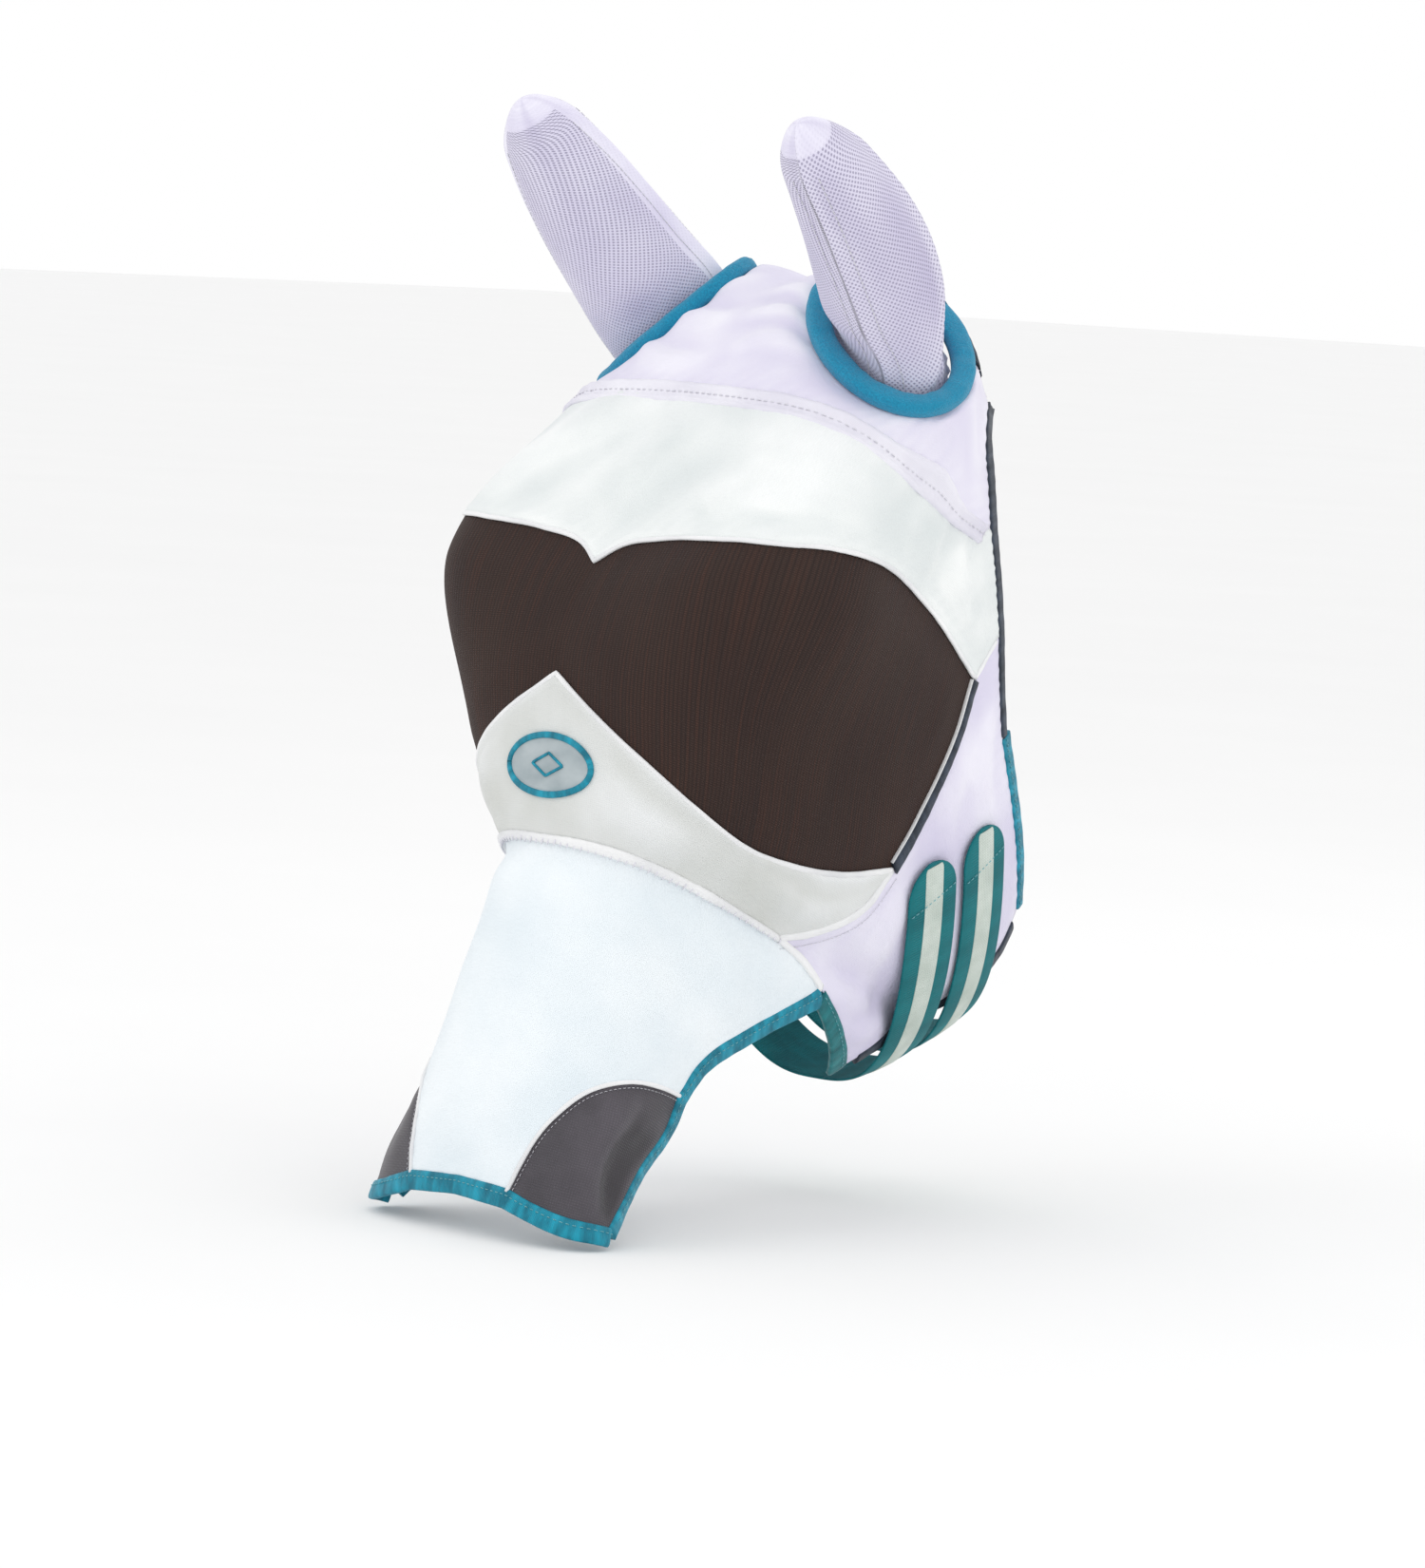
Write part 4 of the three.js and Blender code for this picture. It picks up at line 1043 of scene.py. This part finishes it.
# ---------- ears ----------
EAR = Sizes(rise=46, long_flare=6.2, short_flare=7.2, flare_reach=0.055, left_twist=math.radians(-40))
EAR_TIPS = {"left": np.array([102.0, -97, 82]), "right": np.array([112.0, -88, 90])}
EAR_CUT = (0.175, 0.2)  # size of a cover's flat cloth in metres
EAR_TIP = 0.9  # where the cover starts to round over into its tip
EAR_LONG = [38.5, 39.5, 39.5, 37.5, 35.5, 33, 29.5, 24, 17]
EAR_SHORT = [23.5, 25.5, 29.5, 34, 33.5, 31, 27, 22, 16]


def on_ring(angle, long, short, out):
    """Points of an oval on the ring's plane; the four values are arrays of one shape."""
    return (
        RING.centre
        + (long * np.cos(angle))[..., None] * RING_LONG
        + (short * np.sin(angle))[..., None] * RING_SHORT
        + out[..., None] * RING.normal
    )


def ear_frame(tip, t):
    """The cover's middle at the fraction t of its length, and its long and short ways there."""
    foot, knee = RING.centre - 3 * RING.normal, RING.centre + EAR.rise * RING.normal
    t = t[..., None]
    centre = foot * (1 - t) ** 2 + 2 * knee * t * (1 - t) + tip * t**2
    way = unit(2 * (knee - foot) * (1 - t) + 2 * (tip - knee) * t)
    long_way = unit(RING_LONG - way * (way @ RING_LONG)[..., None])
    return centre, long_way, np.cross(way, long_way)


def ear_lift(t, angle, near):
    """Creases of the cover: flat panes between a few lines from tip to base."""
    turn = np.degrees(angle)
    seam_out = np.minimum(turn, 360 - turn)
    lift = 2.2 * bell(seam_out, 7) + 2.2 * bell(turn - 180, 7)
    pane = bell(turn - (88 if near else 104), 34) * window(t, 0.05, 0.3, 0.7, 0.95)
    lift = lift - (1.5 if near else 5.5) * pane
    if near:
        fold = 45 + 110 * t
        ridge = 3.4 * bell(turn - fold, 8) - 4.2 * bell(turn - fold - 30, 20)
        lift = lift + ridge * window(t, 0.02, 0.14, 0.84, 0.95)
        lift = lift + 2.4 * bell(turn - 70 - 170 * t, 7) * window(t, 0.0, 0.08, 0.38, 0.5)
    else:
        lift = lift + 2.0 * bell(turn - 150 + 60 * t, 9) * window(t, 0.0, 0.1, 0.25, 0.5)
        lift = lift + 1.6 * bell(turn - 60, 12) * window(t, 0.0, 0.1, 0.3, 0.6)
    gathers = 0.8 * np.sin(np.radians(turn) * 26) * (1 - smoothstep(0, 0.1, t))
    return lift * smoothstep(1.0, 0.86, t) + gathers + 0.7 * cloud(t * 150, turn, 26, 7 + near)


def ear_points(tip, t, angle, near, inward=0.0):
    """Points of a cover's skin at the fraction t of its length, and the folds there."""
    centre, long_way, short_way = ear_frame(tip, t)
    flare = np.exp(-t / EAR.flare_reach)
    lift = ear_lift(t, angle, near)
    full = np.minimum(1, np.sqrt(np.maximum(0, 1 - t)) * 4.2)
    long = through(EAR_LONG, t * 8) + EAR.long_flare * flare
    short = through(EAR_SHORT, t * 8) + EAR.short_flare * flare
    dome = np.sqrt(1 - np.clip((t - EAR_TIP) / (1 - EAR_TIP), 0, 1) ** 2)
    long, short = (np.maximum(0.5, (r + (lift - inward) * full) * dome) for r in (long, short))
    angle = angle + (EAR.left_twist if near else 0)
    long, short = (long * np.cos(angle))[..., None], (short * np.sin(angle))[..., None]
    return centre + long * long_way + short * short_way, lift


def ear_faces(points):
    rows, columns = points.shape[:2]
    faces = facing_out(points, ring_faces(rows, columns), points - points.mean(1, keepdims=True))
    tip = [(rows - 1) * columns + k for k in range(columns)]
    return [*faces.tolist(), tip if faces[0][0] < faces[0][1] else tip[::-1]]


def ear_flat(points):
    """Each point's place on the cover's flat cloth."""
    around = np.cumsum(np.linalg.norm(np.roll(points, -1, axis=1) - points, axis=2), 1)
    return np.stack(np.broadcast_arrays(around, lengths(points.mean(1))[:, None]), -1)


def ear_margin(t, angle, near):
    """1 where the cover's cloth is doubled, at its seams and its tip."""
    radius, hem = 34, 9 if near else 13
    turn = np.minimum(angle, 2 * math.pi - angle)
    seam = (math.pi - turn if near else np.minimum(turn, math.pi - turn)) * radius
    return np.maximum(1 - smoothstep(hem - 1, hem + 1, seam), smoothstep(0.94, 0.97, t))


def add_ear(side, tip):
    near = side == "left"
    rows, columns = 90, 108
    steps = 1 - (1 - np.linspace(0, 0.9995, rows)) ** 1.5  # closer together towards the tip
    t, angle = np.meshgrid(steps, np.arange(columns) / columns * 2 * math.pi, indexing="ij")
    points, lift = ear_points(tip, t, angle, near)
    looks = dict(flat=ear_flat(points), lift=lift, margin=ear_margin(t, angle, near))
    cover = thicken(make("ear_cover_" + side, points, ear_faces(points), "ear_mesh", **looks), 0.9)
    seams = ear_seams(side, tip, near)
    for piece in [cover, *seams]:
        if not near:
            flip(piece)
        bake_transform(piece)
    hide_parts(f"ear_front_{side}", f"ear_back_{side}")
    declare_sheet(cover, flat=EAR_CUT)


def ear_seams(side, tip, near):
    """The two stitched margins of an ear cover."""
    t = np.linspace(0.09, 0.9, 48)
    place = t[:, None] + np.linspace(-0.011, 0.011, 5) * 0.62
    radius = np.maximum(through(EAR_SHORT, t * 8), 9)[:, None]
    centre, _, _ = ear_frame(tip, place)
    made = []
    for name, middle in (("outer", 0.0), ("inner", math.pi)):
        for k, shift in enumerate((-9.0, 9.0)):
            angle = np.mod(middle + shift / radius * 0.9 + 0 * place, 2 * math.pi)
            points, _ = ear_points(tip, place, angle, near, inward=-0.25)
            row = f"ear_{name}_stitches_{k}_{side}"
            made.append(threads(row, "white_thread", points, unit(points - centre), 0.3, "ear_mesh"))
    return made


RING_ROWS, RING_CLOSES = 150, math.radians(255)  # the fleece's ends meet at the back


def add_rings():
    angle = np.arange(RING_ROWS) / RING_ROWS * 2 * math.pi
    profile = rounded(RING.wide + 0.5, -1.5, 8.8, RING.wide / 2 - 0.2, power=2.9, count=22)
    turn = angle[:, None] + 0 * profile[:, 0] + RING_CLOSES
    swell = 0.35 * cloud(turn * 58, profile[:, 1] * 3, 7, 131) + 0.5 * cloud(turn * 58, 0 * turn, 24, 132)
    inward = profile[:, 0] + swell * np.sign(profile[:, 0] - RING.wide / 2) * 0.6
    out = profile[:, 1] + swell + 2.0
    points = on_ring(turn, RING.long - inward, RING.short - inward, out)
    reach = angle * (RING.long + RING.short) / 2
    ring = tube("ear_fleece_ring", "ear_fleece", points, reach, loop=True)
    for piece in add_pair(ring, "ear_ring"):
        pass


# ---------- jaw straps ----------
def inside_form(p):
    """Whether each point lies inside the head form."""
    points, _ = sections(p @ DOWN_FACE)
    n = (p @ OUT_OF_FACE)[:, None]
    x0, n0 = points[:, :-1, 0], points[:, :-1, 1]
    x1, n1 = points[:, 1:, 0], points[:, 1:, 1]
    rise = np.where(np.abs(n1 - n0) < 1e-9, 1e-9, n1 - n0)
    crossed = ((n0 > n) != (n1 > n)) & (np.abs(p[:, :1]) < x0 + (x1 - x0) * (n - n0) / rise)
    return crossed.sum(1) % 2 == 1


JAW_ANGLES = np.radians(np.linspace(-24, 156, 181))
JAW_ASIDES = np.linspace(-24, 24, 25)
JAW_NEAREST, JAW_FARTHEST, HALVINGS = 10.0, 220.0, 16


def jaw_reach(strap):
    """How far rays in the strap's planes run before they leave the form, at each angle and aside."""
    angle, aside = (x.ravel() for x in np.meshgrid(JAW_ANGLES, JAW_ASIDES, indexing="ij"))
    centre, ray = jaw_rays(strap, angle, aside)
    near, far = np.full(len(angle), JAW_NEAREST), np.full(len(angle), JAW_FARTHEST)
    for _ in range(HALVINGS):
        middle = (near + far) / 2
        inside = inside_form(centre + ray * middle[:, None])
        near, far = np.where(inside, middle, near), np.where(inside, far, middle)
    return near.reshape(len(JAW_ANGLES), len(JAW_ASIDES))


def jaw_rays(strap, angle, aside):
    """Where rays in the strap's planes start, and which way they run."""
    down = unit([0, *strap.down])
    width = np.cross([1, 0, 0], down)
    centre = np.array([0, *strap.centre]) + aside[..., None] * width
    return centre, np.cos(angle)[..., None] * [1, 0, 0] + np.sin(angle)[..., None] * down


def on_jaw(strap, angle, aside):
    """Where rays in the strap's plane leave the form."""
    angle, aside = np.broadcast_arrays(angle, aside)
    if not hasattr(strap, "reach"):
        strap.reach = jaw_reach(strap)
    i, f = grid_place(JAW_ANGLES, angle)
    j, g = grid_place(JAW_ASIDES, aside)
    last_i, last_j = np.array(strap.reach.shape) - 1
    pick = lambda di, dj: strap.reach[np.clip(i + di, 0, last_i), np.clip(j + dj, 0, last_j)]
    steps = (-1, 0, 1, 2)
    reach = hermite(*[hermite(*[pick(di, dj) for di in steps], f) for dj in steps], g)
    centre, ray = jaw_rays(strap, angle, aside)
    return centre + ray * reach[..., None]


def grid_place(values, x):
    t = (x - values[0]) / (values[1] - values[0])
    i = np.clip(np.floor(t).astype(int), 0, len(values) - 2)
    return i, t - i


def over_jaw(strap, angle, aside, out):
    along = on_jaw(strap, angle + 0.02, aside) - on_jaw(strap, angle - 0.02, aside)
    across = on_jaw(strap, angle, aside + 2) - on_jaw(strap, angle, aside - 2)
    normal = unit(np.cross(along, across))
    return on_jaw(strap, angle, aside) + normal * np.asarray(out)[..., None]


def strap_line(strap, start, end):
    """Angles at even distances along a strap's middle, and the distances."""
    angles = np.radians(np.linspace(start, end, 160))
    points = on_jaw(strap, angles, np.zeros(160))
    along = lengths(points)
    reach = np.linspace(0, along[-1], math.ceil(along[-1] / FINE) + 1)
    return np.interp(reach, along, angles), reach


def strap_part(strap, start, end, wide, low, high, tip=0.0, begin=0.0, stop=None):
    """Rings of points of a flat band; tip is the radius of its rounded first end."""
    angles, reach = strap_line(strap, start, end)
    chosen = (reach >= begin) & (reach <= (stop or reach[-1]))
    angles, reach = angles[chosen], reach[chosen]
    if tip:
        extra = np.array([0.05, 0.6, 1.2]) + begin
        angles = np.r_[np.interp(extra, reach, angles), angles[1:]]
        reach = np.r_[extra, reach[1:]]
    left = np.maximum(0, tip - (reach - begin))
    half = wide / 2 - tip + np.sqrt(np.maximum(tip**2 - left**2, 0))
    profile = rounded(1, low, high, power=5, count=22)
    aside = profile[None, :, 0] * 2 * half[:, None]
    angles = np.broadcast_to(angles[:, None], aside.shape)
    return over_jaw(strap, angles, aside, profile[:, 1]), reach


def fold_ends(strap, at, reach=14):
    """Two points along a strap on each side of one of its folds, in metres."""
    angles, along = strap_line(strap, at - 20, at + 20)
    points = on_jaw(strap, angles, np.zeros(len(angles)))
    middle = np.interp(math.radians(at), angles, along)
    ends = [point_on(points, (middle + k * reach) / along[-1]) for k in (-1, 1)]
    return [(end - POLL) / 1000 for end in ends]


def add_strap(name, strap):
    """The strap in two lengths that meet under the jaw."""
    body, end_body = name + "_strap_base", name + "_strap_end"
    middle = (STRAP_TURN.bend + STRAP_TURN.root) / 2
    free = (STRAP_TURN.top, middle), (body, end_body), fold_ends(strap, STRAP_TURN.bend)
    sewn = (middle, STRAP_TURN.sewn), ("root", body), fold_ends(strap, STRAP_TURN.root)
    web = dict(wide=STRAP.wide, low=STRAP.low, high=STRAP.high)
    stripe = dict(wide=STRAP.stripe, low=STRAP.high - 0.6, high=STRAP.high + 0.35)
    plans = {
        "free": (*free, dict(web, tip=STRAP.wide / 2), ["tab"]),
        "free_stripe": (*free, dict(stripe, begin=0.8, tip=4.0), ["stripe"]),
        "sewn": (*sewn, web, ["under", "anchor"]),
        "sewn_stripe": (*sewn, stripe, []),
    }
    for part, (ends, bodies, fold, shape, nodes) in plans.items():
        points, reach = strap_part(strap, *ends, **shape)
        looks = ("strap_webbing", "strap_webbing") if "stripe" in part else ("strap_edge", "dark_teal_tape")
        piece = tube(f"{name}_strap_{part}", looks[0], points, reach, slot=looks[1])
        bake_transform(piece)
        for node in nodes:
            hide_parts(f"{name}_strap_{node}")
    add_strap_stitches(name, strap, end_body)
    add_pads(name, strap, end_body)


def add_strap_stitches(name, strap, end_body):
    """A slanted row of stitches across the strap's free end."""
    angles, reach = strap_line(strap, STRAP_TURN.top, STRAP_TURN.bend)
    place, slope, long, arch = 23, 0.22, 2.3, 0.35
    steps = np.linspace(-0.5, 0.5, 5)
    aside = np.linspace(-17, 17, 11)[:, None] + steps * long
    angle = np.interp(place - aside * slope, reach, angles)
    out = STRAP.high + 0.45 - arch * (2 * steps) ** 2 + 0 * aside
    points = over_jaw(strap, angle, aside, out)
    normals = unit(points - over_jaw(strap, angle, aside, out - 1))
    row = threads(f"{name}_strap_stitches", "teal_thread", points, normals, 0.28, "dark_teal_tape")
    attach(row, end_body)


def add_pads(name, strap, end_body):
    """Loop tape on the cheek and hook tape on the strap's inner face."""
    start, stop = STRAP.pad_from, STRAP.pad_to
    loop = dict(wide=STRAP.wide - 6, low=1.6, high=2.3, begin=start, stop=stop)
    hook = dict(wide=STRAP.wide - 10, low=2.5, high=3.1, begin=start + 2, stop=stop - 2)
    for part, shape, body in (("loop", loop, "root"), ("hook", hook, end_body)):
        points, reach = strap_part(strap, STRAP_TURN.top, STRAP_TURN.bend, **shape)
        piece = tube(f"{name}_{part}_tape", "hook_and_loop", points, reach)
        ride(piece, f"{name}_{part}_pad", body=body)


# ---------- the stage ----------
SKY = 1.0  # strength of the even light from all round
FLOOR_HALF, FLOOR_GAP = 30, 0.002  # metres
CAMERA = Sizes(azimuth=43, elevation=5, roll=3, distance=3.5, lens=146.85)
ORIGIN_IN_VIEW = (0.03224, 0.27716)  # how far right of and above the middle the form's origin stands


def add_camera():
    az, el, roll = (math.radians(x) for x in (CAMERA.azimuth, CAMERA.elevation, CAMERA.roll))
    back = Vector((math.sin(az) * math.cos(el), -math.cos(az) * math.cos(el), math.sin(el)))
    right = Vector((math.cos(az), math.sin(az), 0))
    up = back.cross(right)
    right_rolled = right * math.cos(roll) + up * math.sin(roll)
    up_rolled = up * math.cos(roll) - right * math.sin(roll)
    target = -(right_rolled * ORIGIN_IN_VIEW[0] + up_rolled * ORIGIN_IN_VIEW[1]) - Vector(POLL / 1000)
    camera = bpy.data.objects.new("camera", bpy.data.cameras.new("camera"))
    bpy.context.scene.collection.objects.link(camera)
    turn = Matrix((right_rolled, up_rolled, back)).transposed()
    camera.matrix_world = Matrix.Translation(target + back * CAMERA.distance) @ turn.to_4x4()
    camera.data.lens = CAMERA.lens
    camera.data.clip_end = 60
    bpy.context.scene.camera = camera


def add_light(name, place, target, size, power):
    lamp = bpy.data.lights.new(name, "AREA")
    lamp.size, lamp.energy = size, power
    light = bpy.data.objects.new(name, lamp)
    light.location = place
    light.rotation_euler = (Vector(target) - Vector(place)).to_track_quat("-Z", "Y").to_euler()
    bpy.context.scene.collection.objects.link(light)


def add_stage():
    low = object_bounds()[0][2] - FLOOR_GAP
    mesh = bpy.data.meshes.new("floor")
    corners = [(x * FLOOR_HALF, y * FLOOR_HALF, low) for x, y in ((-1, -1), (1, -1), (1, 1), (-1, 1))]
    mesh.from_pydata(corners, [], [range(len(corners))])
    floor = bpy.data.objects.new("floor", mesh)
    bpy.context.scene.collection.objects.link(floor)
    f = Finish("floor", 0.9)
    grain = f.add("ShaderNodeTexNoise", Vector=f.add("ShaderNodeTexCoord", 3), Scale=3)
    mesh.materials.append(f.dress(f.mix(grain, "f4f4f4", "f7f7f7")))
    world = bpy.data.worlds.new("studio")
    world.use_nodes = True
    background = world.node_tree.nodes["Background"]
    background.inputs["Color"].default_value = (1, 1, 1, 1)
    background.inputs["Strength"].default_value = SKY
    bpy.context.scene.world = world
    bpy.context.scene.view_settings.view_transform = "Standard"
    middle = (0, 0, -0.2)
    add_light("key", (-0.9, -2.0, 1.6), middle, 1.6, 7)
    add_light("side", (2.2, -0.9, 0.7), middle, 1.6, 5)
    add_light("back", (0.4, 1.8, 1.3), middle, 1.4, 4)


add_crown()
add_face()
add_hems()
add_cheeks()
add_bindings()
add_piping()
add_badge()
for ear_side, ear_tip in EAR_TIPS.items():
    add_ear(ear_side, ear_tip)
add_rings()
for strap_name, strap_sizes in STRAPS.items():
    add_strap(strap_name, strap_sizes)
add_camera()
add_stage()
